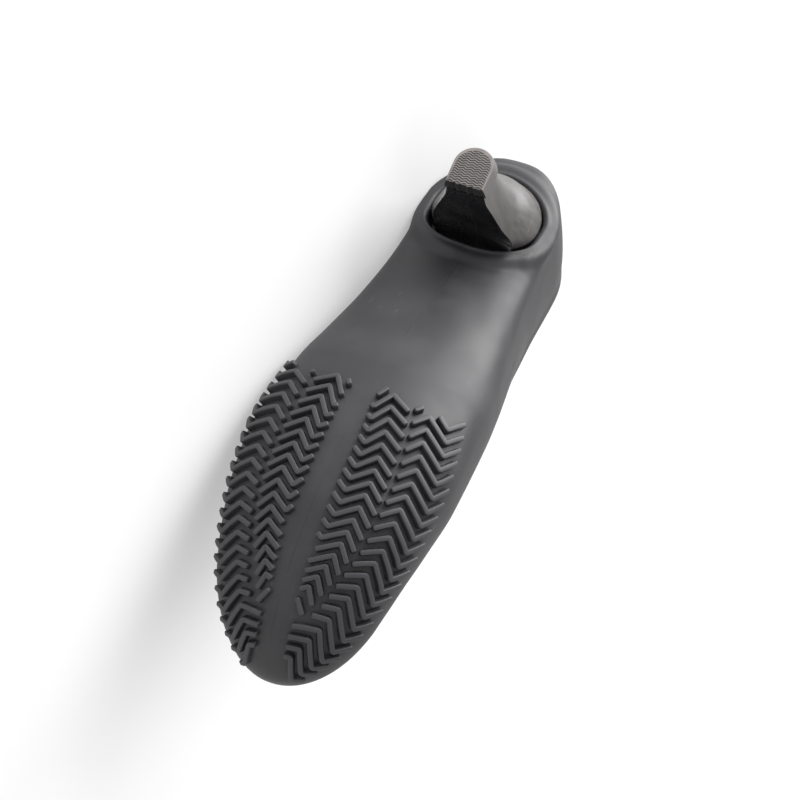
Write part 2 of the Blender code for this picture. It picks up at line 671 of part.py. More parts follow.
def main():
    """Builds the three pieces standing, then lays them on their side."""
    clear_scene()
    parts = make_collection("heel_shoe_cover")
    cutters = make_collection("cutters")
    cover = build_cover(parts, cutters, make_material("silicone"))
    heel = build_heel(parts, make_material("heel_wrap"))
    lift = build_top_lift(parts, make_material("top_lift_rubber"))
    bpy.context.view_layer.update()
    lay_on_side([cover, heel, lift], cutters.objects, parts)


main()
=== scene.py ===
"""Heel shoe cover lying on its side: the looks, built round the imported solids.

Every piece is worked out in the shoe's own frame, in metres: x runs from heel to toe, y to the
wearer's left, and z up from the ground on which the shoe is worn. RestingPose then lays the points
on their side, where the solids lie.
"""

import logging
import math
from dataclasses import dataclass, field
from enum import Enum

import bmesh
import bpy
import numpy as np
from mathutils import Matrix

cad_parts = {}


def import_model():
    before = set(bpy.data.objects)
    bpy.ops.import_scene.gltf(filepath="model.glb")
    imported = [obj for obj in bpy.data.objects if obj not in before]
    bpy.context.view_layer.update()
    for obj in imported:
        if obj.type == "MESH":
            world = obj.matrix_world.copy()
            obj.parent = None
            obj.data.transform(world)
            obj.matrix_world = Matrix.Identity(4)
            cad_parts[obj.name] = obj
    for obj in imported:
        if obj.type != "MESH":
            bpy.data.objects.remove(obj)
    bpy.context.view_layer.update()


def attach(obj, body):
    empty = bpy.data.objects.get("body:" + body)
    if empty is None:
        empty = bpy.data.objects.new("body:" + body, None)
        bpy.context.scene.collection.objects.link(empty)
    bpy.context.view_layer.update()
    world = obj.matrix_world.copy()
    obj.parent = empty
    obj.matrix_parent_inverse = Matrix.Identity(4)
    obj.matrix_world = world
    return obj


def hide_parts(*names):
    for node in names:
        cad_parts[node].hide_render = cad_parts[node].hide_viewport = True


LOG = logging.getLogger("heel_shoe_cover")
Array = np.ndarray
Pair = tuple[float, float]
Point = tuple[float, float, float]
Tone = tuple[float, float, float, float]
Socket = bpy.types.NodeSocket
Source = Socket | float | Tone

MERGE_DISTANCE = 3e-6
SLIVER_LENGTH = 1e-7
SAME_PLACE = 2e-6
SLOPE_STEP = 2e-4
TURN_STEP = 2e-3
TINY = 1e-6


class Side(Enum):
    """Sides of the shoe, valued by the sign of y there."""

    LEFT = 1
    RIGHT = -1


class RibKind(Enum):
    """Shapes of tread rib."""

    INNER = "inner"
    OUTER = "outer"


class Op(Enum):
    """Ways of working out a value in a material from one or two others."""

    ADD = "ADD"
    SUBTRACT = "SUBTRACT"
    MULTIPLY = "MULTIPLY"
    MAXIMUM = "MAXIMUM"
    ABSOLUTE = "ABSOLUTE"
    SINE = "SINE"
    FRACT = "FRACT"


def smooth_step(low: float, high: float, value: Array) -> Array:
    """Ramp that is 0 below low and 1 above high, with no corner at either end.

    Args:
        low: Where the ramp starts.
        high: Where it ends.
        value: Where it is read.

    Returns:
        The ramp's height, 3t^2 - 2t^3 of the share t between low and high.
    """
    t = np.clip((np.asarray(value, float) - low) / (high - low), 0.0, 1.0)
    return t * t * (3 - 2 * t)


def hump(middle: float, reach: float, value: Array) -> Array:
    """Rounded bump that is 1 at middle and fades to 0 at reach from it: (1 - t^2)^2."""
    t = np.clip(np.abs(np.asarray(value, float) - middle) / reach, 0.0, 1.0)
    return (1.0 - t * t) ** 2


def end_round(distance: Array, reach: float) -> Array:
    """Quarter circle that is 0 at an end of the form, and 1 at reach from it and beyond."""
    t = np.clip(np.asarray(distance, float) / reach, 0.0, 1.0)
    return np.sqrt(np.clip(1.0 - (1.0 - t) ** 2, 0.0, 1.0))


def monotone_cubic(knots: Array, values: Array, x: Array) -> Array:
    """Smooth curve through the knots that never overshoots them.

    Each span is a Hermite cubic; a knot's slope is the weighted harmonic mean of the slopes beside
    it, or 0 where they turn.

    Args:
        knots: Rising places of the knots.
        values: Heights at the knots.
        x: Where the curve is read.

    Returns:
        Heights at x.
    """
    step = np.diff(knots)
    slope = np.diff(values) / step
    turn = slope[:-1] * slope[1:] <= 0
    weight_a = 2 * step[1:] + step[:-1]
    weight_b = step[1:] + 2 * step[:-1]
    safe_a = np.where(turn, 1.0, slope[:-1])
    safe_b = np.where(turn, 1.0, slope[1:])
    inner = np.where(turn, 0.0, (weight_a + weight_b) / (weight_a / safe_a + weight_b / safe_b))
    tangent = np.concatenate([slope[:1], inner, slope[-1:]])
    x = np.clip(x, knots[0], knots[-1])
    i = np.clip(np.searchsorted(knots, x) - 1, 0, len(step) - 1)
    t = (x - knots[i]) / step[i]
    rise = values[i] * (1 + 2 * t) * (1 - t) ** 2 + values[i + 1] * t * t * (3 - 2 * t)
    return rise + step[i] * (tangent[i] * t * (1 - t) ** 2 - tangent[i + 1] * t * t * (1 - t))


@dataclass(frozen=True)
class RestingPose:
    """How the shoe lies: rolled about its length on to its left side, then the toe end lifted."""

    roll_deg: float = -92.142681
    toe_lift_deg: float = 6.046712
    place: Point = (-0.120538, -0.056981, 0.025558)

    def turn(self) -> Array:
        """Turn from the shoe's frame to the floor's, as a 3 by 3 matrix."""
        roll, lift = math.radians(self.roll_deg), math.radians(self.toe_lift_deg)
        about_length = np.array([[1, 0, 0],
                                 [0, math.cos(roll), -math.sin(roll)],
                                 [0, math.sin(roll), math.cos(roll)]])
        about_width = np.array([[math.cos(lift), 0, -math.sin(lift)],
                                [0, 1, 0],
                                [math.sin(lift), 0, math.cos(lift)]])
        return about_width @ about_length

    def lay(self, points: Array) -> Array:
        """Points of the shoe's frame where they lie on the floor."""
        return points @ self.turn().T + np.array(self.place)

    def stand_back(self) -> Matrix:
        """Turn and move from the floor's frame back to the shoe's, for patterns."""
        back = np.eye(4)
        back[:3, :3] = self.turn().T
        back[:3, 3] = -self.turn().T @ np.array(self.place)
        return Matrix(back.tolist())


@dataclass
class Sheet:
    """A surface: points, quads that point outwards, named values per point and finish per quad."""

    points: Array
    quads: Array
    values: dict[str, Array] = field(default_factory=dict)
    finish: Array | None = None

    def flipped(self) -> "Sheet":
        """The same surface, facing the other way."""
        return Sheet(self.points, self.quads[:, ::-1], self.values, self.finish)

    def outward(self) -> "Sheet":
        """The same closed surface with its faces outwards.

        The signed volume is the sum over the quads of the tetrahedra to the origin.
        """
        a, b, c, d = (self.points[self.quads[:, k]] for k in range(4))
        volume = np.einsum("ij,ij->", a, np.cross(b, c)) + np.einsum("ij,ij->", a, np.cross(c, d))
        return self if volume > 0 else self.flipped()

    @staticmethod
    def joined(sheets: list["Sheet"]) -> "Sheet":
        """Several surfaces as one; a value or finish that one of them lacks is 0 there."""
        names = sorted({name for sheet in sheets for name in sheet.values})
        starts = np.cumsum([0] + [len(sheet.points) for sheet in sheets])
        values = {}
        for name in names:
            parts = [s.values.get(name, np.zeros(len(s.points))) for s in sheets]
            values[name] = np.concatenate(parts)
        finish = [np.zeros(len(s.quads), int) if s.finish is None else s.finish for s in sheets]
        return Sheet(np.concatenate([sheet.points for sheet in sheets]),
                     np.concatenate([sheet.quads + start for sheet, start in zip(sheets, starts)]),
                     values, np.concatenate(finish))


def grid_quads(rows: int, columns: int, closed: bool = False) -> Array:
    """Quads of a grid of points, row by row, facing along (row direction) x (column direction).

    Args:
        rows: Number of rows of points.
        columns: Number of points in a row.
        closed: Whether each row's end joins its start.

    Returns:
        Point numbers, four to a quad.
    """
    across = np.arange(columns if closed else columns - 1)
    i, j = np.meshgrid(np.arange(rows - 1), across, indexing="ij")
    k = (j + 1) % columns
    corners = (i * columns + j, (i + 1) * columns + j, (i + 1) * columns + k, i * columns + k)
    return np.stack(corners, axis=-1).reshape(-1, 4)


def unit(vectors: Array) -> Array:
    """Vectors on the last axis, brought to length 1."""
    return vectors / np.maximum(np.linalg.norm(vectors, axis=-1, keepdims=True), 1e-12)


def raised(plan: Array, height: Array | float) -> Array:
    """Plan points with their heights as the third coordinate."""
    return np.concatenate([plan, np.broadcast_to(height, plan.shape[:-1])[..., None]], axis=-1)


def point_normals(points: Array, quads: Array) -> Array:
    """Unit normals at the points, equal where points of two rows or patches share a place.

    A point's normal is the sum of the area vectors of the quads round its place.
    """
    cells = np.round(points / SAME_PLACE).astype(np.int64)
    place = np.unique(cells, axis=0, return_inverse=True)[1].reshape(-1)
    a, b, c, d = (points[quads[:, k]] for k in range(4))
    area = np.cross(c - a, d - b)
    total = np.zeros((place.max() + 1, 3))
    for k in range(4):
        np.add.at(total, place[quads[:, k]], area)
    return unit(total[place])


def make_piece(name: str, sheet: Sheet, pose: RestingPose, finishes: list[bpy.types.Material],
               crisp_deg: float) -> bpy.types.Object:
    """Puts a surface into a mesh, laid in its place, with seams and poles merged.

    Points that no quad uses are left out, and soft points below the floor are pressed flat on it.

    Args:
        name: Name of the piece.
        sheet: Its surface in the shoe's frame.
        pose: How the shoe lies.
        finishes: Its materials, in the order of the sheet's finish numbers.
        crisp_deg: Edges that turn by more than this stay crisp.

    Returns:
        The new object, at the origin.
    """
    used, quads = np.unique(sheet.quads, return_inverse=True)
    points = pose.lay(sheet.points[used])
    points[:, 2] = np.maximum(points[:, 2], 0.0)
    mesh = bpy.data.meshes.new(name)
    mesh.vertices.add(len(points))
    mesh.vertices.foreach_set("co", points.astype(np.float32).ravel())
    mesh.loops.add(4 * len(sheet.quads))
    mesh.loops.foreach_set("vertex_index", quads.astype(np.int32).ravel())
    mesh.polygons.add(len(sheet.quads))
    mesh.polygons.foreach_set("loop_start", np.arange(0, 4 * len(sheet.quads), 4, dtype=np.int32))
    if sheet.finish is not None:
        mesh.polygons.foreach_set("material_index", sheet.finish.astype(np.int32))
    for value_name, numbers in sheet.values.items():
        layer = mesh.attributes.new(value_name, "FLOAT", "POINT")
        layer.data.foreach_set("value", numbers[used].astype(np.float32))
    mesh.update(calc_edges=True)
    merged = bmesh.new()
    merged.from_mesh(mesh)
    bmesh.ops.remove_doubles(merged, verts=merged.verts, dist=MERGE_DISTANCE)
    bmesh.ops.dissolve_degenerate(merged, edges=merged.edges, dist=SLIVER_LENGTH)
    merged.to_mesh(mesh)
    merged.free()
    mesh.shade_smooth()
    mesh.set_sharp_from_angle(angle=math.radians(crisp_deg))
    for finish in finishes:
        mesh.materials.append(finish)
    piece = bpy.data.objects.new(name, mesh)
    bpy.context.scene.collection.objects.link(piece)
    return piece


@dataclass(frozen=True)
class LastForm:
    """Outer form of the cover: sections worked out from length, ball width, heel and instep height.

    A section is a quarter superellipse from the bottom centre to the widest line on each side, and
    another from there up to the crown, cut at the collar.
    """

    length: float = 0.242
    ball_width: float = 0.080
    heel_height: float = 0.047
    instep_height: float = 0.078
    throat_station: float = 0.521
    crown_roundness: float = 2.3
    heel_plan_round: float = 0.034
    heel_edge_round: float = 0.010
    heel_edge_rise: float = 0.008
    toe_plan_round: float = 0.030
    toe_nose_round: float = 0.016
    toe_nose_height: float = 0.0385
    columns: tuple[str, ...] = ("station", "width", "bottom", "belly", "top", "edge", "collar")
    sections: tuple[tuple[float, ...], ...] = (
        (0.000, 0.650, 1.245, 0.115, 1.859, 3.80, 0.62),
        (0.062, 0.657, 1.177, 0.115, 1.846, 3.80, 0.61),
        (0.145, 0.672, 1.064, 0.122, 1.769, 3.80, 0.58),
        (0.248, 0.700, 0.900, 0.160, 1.564, 3.30, 0.60),
        (0.351, 0.775, 0.660, 0.237, 1.359, 2.80, 0.72),
        (0.455, 0.882, 0.374, 0.301, 1.167, 2.50, 0.89),
        (0.521, 0.940, 0.200, 0.314, 1.051, 2.40, 1.00),
        (0.661, 0.990, 0.019, 0.288, 0.833, 2.35, 1.20),
        (0.744, 0.940, 0.000, 0.276, 0.731, 2.35, 1.30),
        (0.826, 0.845, 0.064, 0.269, 0.667, 2.30, 1.40),
        (0.917, 0.705, 0.266, 0.250, 0.667, 2.20, 1.50),
        (1.000, 0.613, 0.553, 0.141, 0.667, 2.10, 1.60),
    )

    def column(self, name: str, x: Array) -> Array:
        """One column of the section table at the lengthwise places x."""
        table = np.array(self.sections)
        values = table[:, self.columns.index(name)]
        return monotone_cubic(table[:, 0] * self.length, values, np.asarray(x, float))

    def half_width(self, x: Array) -> Array:
        """Half width of the form at its widest line."""
        ends = end_round(x, self.heel_plan_round) * end_round(self.length - x, self.toe_plan_round)
        return self.ball_width / 2 * self.column("width", x) * ends

    def to_nose(self, height: Array, x: Array) -> Array:
        """A height drawn in to the nose of the toe near the tip."""
        share = end_round(self.length - x, self.toe_nose_round)
        return self.toe_nose_height + (height - self.toe_nose_height) * share

    def bottom_line(self, x: Array) -> Array:
        """Height of the underside on the centre line."""
        heel_edge = self.heel_edge_rise * (1.0 - end_round(x, self.heel_edge_round))
        return self.to_nose(self.heel_height * self.column("bottom", x) + heel_edge, x)

    def widest_line(self, x: Array) -> Array:
        """Height at which the form is widest."""
        bottom, belly = self.column("bottom", x), self.column("belly", x)
        return self.to_nose(self.heel_height * bottom + self.instep_height * belly, x)

    def top_line(self, x: Array) -> Array:
        """Height of the crown on the centre line, above the collar where the form is open."""
        return self.to_nose(self.instep_height * self.column("top", x), x)

    def underside(self, x: Array, y: Array) -> tuple[Array, Array]:
        """Share of the half width at y, and the superellipse's share of the depth there."""
        share = np.clip(np.abs(y) / np.maximum(self.half_width(x), TINY), 0.0, 1.0)
        edge = self.column("edge", x)
        return share, (1.0 - share ** edge) ** (1.0 / edge)

    def bottom_height(self, x: Array, y: Array) -> Array:
        """Height of the underside at x and y, up to the widest line."""
        wide = self.widest_line(x)
        return wide - (wide - self.bottom_line(x)) * self.underside(x, y)[1]

    def underside_normal(self, x: Array, y: Array) -> Array:
        """Unit normal of the underside at x and y, outwards, from central differences."""
        height, step = self.bottom_height, SLOPE_STEP
        slope_x = (height(x + step, y) - height(x - step, y)) / (2 * step)
        slope_y = (height(x, y + step) - height(x, y - step)) / (2 * step)
        return unit(np.stack([slope_x, slope_y, -np.ones_like(slope_x)], axis=-1))

    def collar_turn(self, x: Array) -> Array:
        """Angle up the upper quarter at which the collar is cut, a right angle if closed."""
        cut = np.minimum(1.0, self.column("collar", x))
        power = self.crown_roundness
        return np.arctan2(cut, np.clip(1.0 - cut ** power, 0.0, 1.0) ** (1.0 / power))

    def around(self, x: Array, y: Array) -> Array:
        """Place round the section, -1 to 1, of an underside point: its angle over 90 degrees."""
        return np.sign(y) * np.arctan2(*self.underside(x, y)) / (math.pi / 2)

    def surface(self, x: Array, q: Array) -> Array:
        """Points of the form at x and at q round the section.

        q is 0 at the bottom centre, 1 (left) or -1 (right) at the widest line, and 2 or -2 at the
        collar or crown. Each quarter is drawn by its angle a: a superellipse of power p reaches
        (|sin a|^p + |cos a|^p)^(-1/p) there.

        Args:
            x: Lengthwise places.
            q: Places round the section, of the same shape.

        Returns:
            Points, with the coordinates on the last axis.
        """
        turn = np.clip(np.abs(q), 0.0, 1.0) * math.pi / 2
        edge = self.column("edge", x)
        reach = (np.sin(turn) ** edge + np.cos(turn).clip(0) ** edge) ** (-1.0 / edge)
        high = np.clip(np.abs(q) - 1.0, 0.0, 1.0) * self.collar_turn(x)
        crown = self.crown_roundness
        high_reach = (np.cos(high).clip(0) ** crown + np.sin(high) ** crown) ** (-1.0 / crown)
        below = np.abs(q) <= 1.0
        low, wide, top = self.bottom_line(x), self.widest_line(x), self.top_line(x)
        across = np.where(below, reach * np.sin(turn), high_reach * np.cos(high).clip(1e-12))
        up = np.where(below, wide - (wide - low) * reach * np.cos(turn),
                      wide + (top - wide) * high_reach * np.sin(high))
        return np.stack([x, np.sign(q) * self.half_width(x) * across, up], axis=-1)


@dataclass(frozen=True)
class HeelOpening:
    """Outline of the opening in the underside through which the heel stands."""

    centre: float = 0.03365
    length: float = 0.0391
    width: float = 0.0450
    back_roundness: float = 1.8
    front_roundness: float = 2.7

    def outline(self, turn: Array) -> tuple[Array, Array]:
        """Superellipse at the angles turn, squarer in front than behind, as x and y."""
        ahead, aside = np.cos(turn), np.sin(turn)
        power = 2.0 / np.where(ahead > 0, self.front_roundness, self.back_roundness)
        x = self.centre + self.length / 2 * np.sign(ahead) * np.abs(ahead) ** power
        y = self.width / 2 * np.sign(aside) * np.abs(aside) ** power
        return x, y


@dataclass(frozen=True)
class RibColumn:
    """One column of zigzag ribs on one side of the tread.

    Row k peaks at row_zero + k pitch + k (k - 1) / 2 growth from the toe, along the underside. The
    shape table's columns are that distance, the half widths of the plain centre band, of the inner
    corner with its drop towards the toe, of the peak and of the outer corner with its drop, and the
    slope of the arm beyond the corner. Between the table's rows each size is a smooth curve.
    """

    side: Side
    kind: RibKind
    last: int
    row_zero: float
    pitch: float
    growth: float
    shapes: tuple[tuple[float, ...], ...]

    def run(self, row: int) -> float:
        """Distance of a row's peak from the toe."""
        return self.row_zero + row * self.pitch + row * (row - 1) / 2 * self.growth

    def sizes(self, run: float) -> list[float]:
        """The shape table's sizes for the rib that peaks at run."""
        distance, *sizes = np.array(self.shapes).T
        return [float(monotone_cubic(distance, size, run)) for size in sizes]


@dataclass(frozen=True)
class RibNub:
    """A part of a rib, moulded only between two half widths."""

    column: int
    row: int
    from_half: float
    to_half: float


@dataclass(frozen=True)
class Tread:
    """Herringbone tread: zigzag ribs in a block each side of a plain centre band.

    The outer ribs end in an arm: on the left it stops at the edge, on the right it runs round it.
    """

    form: LastForm
    width: float = 0.0019
    height: float = 0.0022
    sunk_share: float = 0.35
    flank: tuple[Pair, ...] = ((1.42, -0.60), (1.26, 0.0), (1.10, 0.30),
                               (1.03, 0.74), (0.90, 0.96), (0.74, 1.0))
    sample_step: float = 0.0014
    back_station: float = 0.31
    end_radius: float = 0.0007
    corner_radius: float = 0.00045
    min_leg: float = 0.0012
    min_length: float = 0.0015
    edge_share: float = 0.975
    hook_reach: float = 0.0044
    hook_rise: float = 0.0052
    arm_reach: float = 0.0078
    arm_rise: float = 0.0070
    wrap_share: float = 0.90
    wrap_turn: float = 30.0
    columns: tuple[RibColumn, ...] = (
        RibColumn(Side.LEFT, RibKind.INNER, 17, 0.03810, 0.00423, 0.0000797, (
            (0.038, 0.0040, -0.0018, 0.0043, 0.0046, 0.0070, 0.0061, 1.40),
            (0.047, 0.0046, 0.0021, 0.0043, 0.0085, 0.0102, 0.0060, 1.40),
            (0.060, 0.0052, 0.0057, 0.0044, 0.0121, 0.0155, 0.0060, 1.40),
            (0.080, 0.0059, 0.0086, 0.0052, 0.0147, 0.0202, 0.0058, 1.25),
            (0.100, 0.0062, 0.0094, 0.0064, 0.0146, 0.0214, 0.0053, 0.80),
            (0.116, 0.0064, 0.0077, 0.0078, 0.0129, 0.0203, 0.0049, 0.65),
            (0.126, 0.0066, 0.0064, 0.0087, 0.0117, 0.0194, 0.0045, 0.60),
        )),
        RibColumn(Side.LEFT, RibKind.OUTER, 20, 0.01635, 0.00440, 0.0000804, (
            (0.016, 0.0042, 0.0010, -0.0010, 0.0066, 0.0075, 0.0082, 0.4),
            (0.031, 0.0042, 0.0044, 0.0015, 0.0129, 0.0168, 0.0070, 0.7),
            (0.034, 0.0042, 0.0097, 0.0005, 0.0142, 0.0184, 0.0068, 0.7),
            (0.050, 0.0042, 0.0153, 0.0017, 0.0205, 0.0254, 0.0057, 0.8),
            (0.070, 0.0042, 0.0203, 0.0032, 0.0258, 0.0312, 0.0044, 1.0),
            (0.090, 0.0042, 0.0226, 0.0044, 0.0276, 0.0348, 0.0032, 1.5),
            (0.110, 0.0042, 0.0226, 0.0054, 0.0278, 0.0363, 0.0022, 2.0),
            (0.126, 0.0042, 0.0213, 0.0060, 0.0290, 0.0357, 0.0014, 2.0),
        )),
        RibColumn(Side.RIGHT, RibKind.INNER, 17, 0.03875, 0.00413, 0.0000799, (
            (0.038, 0.0060, -0.0010, 0.0050, 0.0066, 0.0090, 0.0061, 0.7),
            (0.047, 0.0059, 0.0030, 0.0050, 0.0107, 0.0138, 0.0058, 0.7),
            (0.060, 0.0057, 0.0068, 0.0050, 0.0146, 0.0186, 0.0055, 0.7),
            (0.080, 0.0054, 0.0094, 0.0056, 0.0162, 0.0219, 0.0052, 0.7),
            (0.100, 0.0053, 0.0088, 0.0065, 0.0139, 0.0210, 0.0049, 0.7),
            (0.126, 0.0033, 0.0041, 0.0081, 0.0079, 0.0157, 0.0046, 0.6),
        )),
        RibColumn(Side.RIGHT, RibKind.OUTER, 20, 0.01716, 0.00447, 0.0000541, (
            (0.017, 0.0060, 0.0000, 0.0022, 0.0084, 0.0089, 0.0082, 0.4),
            (0.031, 0.0062, 0.0070, 0.0025, 0.0160, 0.0181, 0.0087, 0.7),
            (0.034, 0.0062, 0.0112, 0.0011, 0.0174, 0.0198, 0.0084, 0.7),
            (0.050, 0.0062, 0.0172, 0.0030, 0.0238, 0.0275, 0.0072, 0.8),
            (0.070, 0.0062, 0.0220, 0.0047, 0.0281, 0.0334, 0.0063, 1.0),
            (0.090, 0.0062, 0.0232, 0.0057, 0.0281, 0.0352, 0.0060, 1.5),
            (0.110, 0.0062, 0.0211, 0.0059, 0.0250, 0.0332, 0.0063, 2.0),
            (0.124, 0.0062, 0.0179, 0.0056, 0.0222, 0.0301, 0.0068, 2.0),
        )),
    )
    nubs: tuple[RibNub, ...] = (
        RibNub(0, 18, 0.0064, 0.0082),
        RibNub(1, 21, 0.0205, 0.0226),
        RibNub(1, 21, 0.0318, 0.0400),
        RibNub(2, 18, 0.0041, 0.0066),
        RibNub(3, 21, 0.0181, 0.0206),
        RibNub(3, 21, 0.0262, 0.0400),
    )

    def sole_lengths(self) -> tuple[Array, Array]:
        """Distance from the toe tip along the underside, and the lengthwise place there."""
        x = np.linspace(self.form.length, self.form.length * self.back_station, 600)
        steps = np.hypot(np.diff(x), np.diff(self.form.bottom_line(x)))
        return np.concatenate([[0.0], np.cumsum(steps)]), x

    def corners(self, column: RibColumn, row: int,
                lengths: tuple[Array, Array]) -> tuple[Array, Array, float]:
        """Corners of one rib from the centre outwards.

        Args:
            column: The column that it stands in.
            row: Its row.
            lengths: Distances from the toe and lengthwise places along the underside.

        Returns:
            Distances of the corners from the toe, their half widths, and the centre band's.
        """
        run = column.run(row)
        band, inner, inner_drop, peak, outer, outer_drop, hook = column.sizes(run)
        along = [run - inner_drop, run, run - outer_drop]
        across = [inner, peak, outer]
        if column.kind is RibKind.OUTER:
            if column.side is Side.RIGHT:
                reach = min(self.arm_reach, self.arm_rise / hook)
            else:
                half = float(self.form.half_width(np.interp(run - outer_drop, *lengths)))
                reach = min(self.hook_reach, self.hook_rise / hook, self.edge_share * half - outer)
            if reach > self.min_leg:
                along.append(run - outer_drop + hook * reach)
                across.append(outer + reach)
        elif inner - band > self.min_leg:
            along.insert(0, run - inner_drop + hook * (inner - band))
            across.insert(0, band)
        return np.array(along), np.array(across), band

    def path(self, column: RibColumn, row: int, lengths: tuple[Array, Array],
             limits: Pair) -> Array:
        """Plan points of one rib between two half widths: its start, its corners and its end."""
        along, across, band = self.corners(column, row, lengths)
        start = max(limits[0], band, across[0])
        end = min(limits[1], across[-1])
        between = across[(across > start + self.min_leg) & (across < end - self.min_leg)]
        places = np.array([start, *between, end])
        x = np.interp(np.interp(places, across, along), *lengths)
        if column.side is Side.LEFT:
            places = np.minimum(places, self.edge_share * self.form.half_width(x))
        return np.stack([x, column.side.value * places], axis=1)

    def eased_path(self, corners: Array) -> tuple[Array, Array]:
        """Samples along a rib's plan path with its corners eased.

        They stand closer together at the corners and ends. A sample is the mean of the straight
        path over a window of the corner radius each way, which shrinks to nothing at the ends.

        Args:
            corners: Plan points of the rib.

        Returns:
            Plan points, and each one's distance from the nearer end.
        """
        legs = np.hypot(*np.diff(corners, axis=0).T)
        place = np.concatenate([[0.0], np.cumsum(legs)])
        total = place[-1]
        tip = min(self.end_radius, total / 2.2) * (1 - np.cos(np.linspace(0, math.pi / 2, 5)))
        body = np.linspace(tip[-1], total - tip[-1], 4 + int(total / self.sample_step))
        bends = (place[1:-1, None] + self.corner_radius * np.linspace(-1.2, 1.2, 5)).ravel()
        bends = bends[(bends > tip[-1]) & (bends < total - tip[-1])]
        s = np.unique(np.round(np.concatenate([tip, body, bends, total - tip]), 6))
        near_end = np.maximum(np.minimum(s, total - s), 0.0)
        window = np.minimum(self.corner_radius, near_end)[:, None] * np.linspace(-1, 1, 9)
        around = s[:, None] + window
        samples = [np.interp(around, place, part).mean(axis=1) for part in corners.T]
        return np.stack(samples, axis=1), near_end

    def profile(self) -> Array:
        """Closed outline across a rib: a flat-topped bar with a filleted, sunk foot."""
        right = np.array(self.flank) * (self.width / 2, self.height)
        return np.concatenate([right * (-1, 1), [(0.0, self.height)], right[::-1]])

    def on_wall(self, x: Array, y: Array) -> tuple[Array, Array]:
        """Points and outward normals of the wall at plan places.

        Near the edge y goes on round the section, by wrap_turn quarters to the metre.

        Args:
            x: Lengthwise places.
            y: Places across, measured along the wall near the edge.

        Returns:
            Points and unit normals.
        """
        flat = self.wrap_share * self.form.half_width(x)
        over = self.wrap_turn * np.maximum(np.abs(y) - flat, 0.0)
        q = self.form.around(x, np.sign(y) * np.minimum(np.abs(y), flat)) + np.sign(y) * over
        wall = self.form.surface
        points = wall(x, q)
        normal = np.cross(wall(x, q + TURN_STEP) - wall(x, q - TURN_STEP),
                          wall(x + SLOPE_STEP, q) - wall(x - SLOPE_STEP, q))
        inside = np.stack([x, np.zeros_like(x), self.form.widest_line(x) + 0.01], axis=1)
        normal *= np.sign(((points - inside) * normal).sum(axis=1, keepdims=True))
        return points, normal / np.linalg.norm(normal, axis=1, keepdims=True)

    def bar(self, corners: Array) -> Sheet:
        """One rib: the profile carried along its path on the wall, its ends drawn in round."""
        plan, near_end = self.eased_path(corners)
        spine, normal = self.on_wall(plan[:, 0], plan[:, 1])
        sideways = np.cross(normal, unit(np.gradient(spine, axis=0)))
        profile = self.profile()
        narrow, low = (np.maximum(end_round(near_end, reach), 1e-3)[:, None]
                       for reach in (self.end_radius, 0.5 * self.end_radius))
        out = profile[:, 0] * narrow
        sunk = -self.sunk_share * self.height
        up = sunk + (profile[:, 1] - sunk) * low
        points = (spine[:, None] + sideways[:, None] * out[..., None]
                  + normal[:, None] * up[..., None])
        crest = np.clip(up / self.height, 0.0, 1.0)
        return Sheet(points.reshape(-1, 3), grid_quads(len(plan), len(profile), closed=True),
                     {"crest": crest.ravel(), "underside": np.ones(crest.size)}).outward()

    def build(self) -> Sheet:
        """All the ribs as one surface of separate bars."""
        lengths = self.sole_lengths()
        whole = (0.0, self.form.ball_width)
        ribs = [(c, row, whole) for c in self.columns for row in range(c.last + 1)]
        ribs += [(self.columns[n.column], n.row, (n.from_half, n.to_half)) for n in self.nubs]
        paths = [self.path(column, row, lengths, limits) for column, row, limits in ribs]
        long = [path for path in paths if math.dist(path[0], path[-1]) >= self.min_length]
        return Sheet.joined([self.bar(path) for path in long])


@dataclass(frozen=True)
class Crease:
    """A crease of the soft wall: a ridge, or a hollow if its height is negative, along a path."""

    path: tuple[Point, ...]
    height: float
    reach: float

    def relief(self, points: Array) -> Array:
        """How far points near the path move out: the height times a hump of their distance."""
        line = np.array(self.path)
        start, leg = line[:-1], np.diff(line, axis=0)
        away = points[:, None] - start
        share = np.clip((away * leg).sum(axis=2) / (leg * leg).sum(axis=1), 0.0, 1.0)
        distance = np.linalg.norm(away - share[..., None] * leg, axis=2).min(axis=1)
        return self.height * hump(0.0, self.reach, distance)


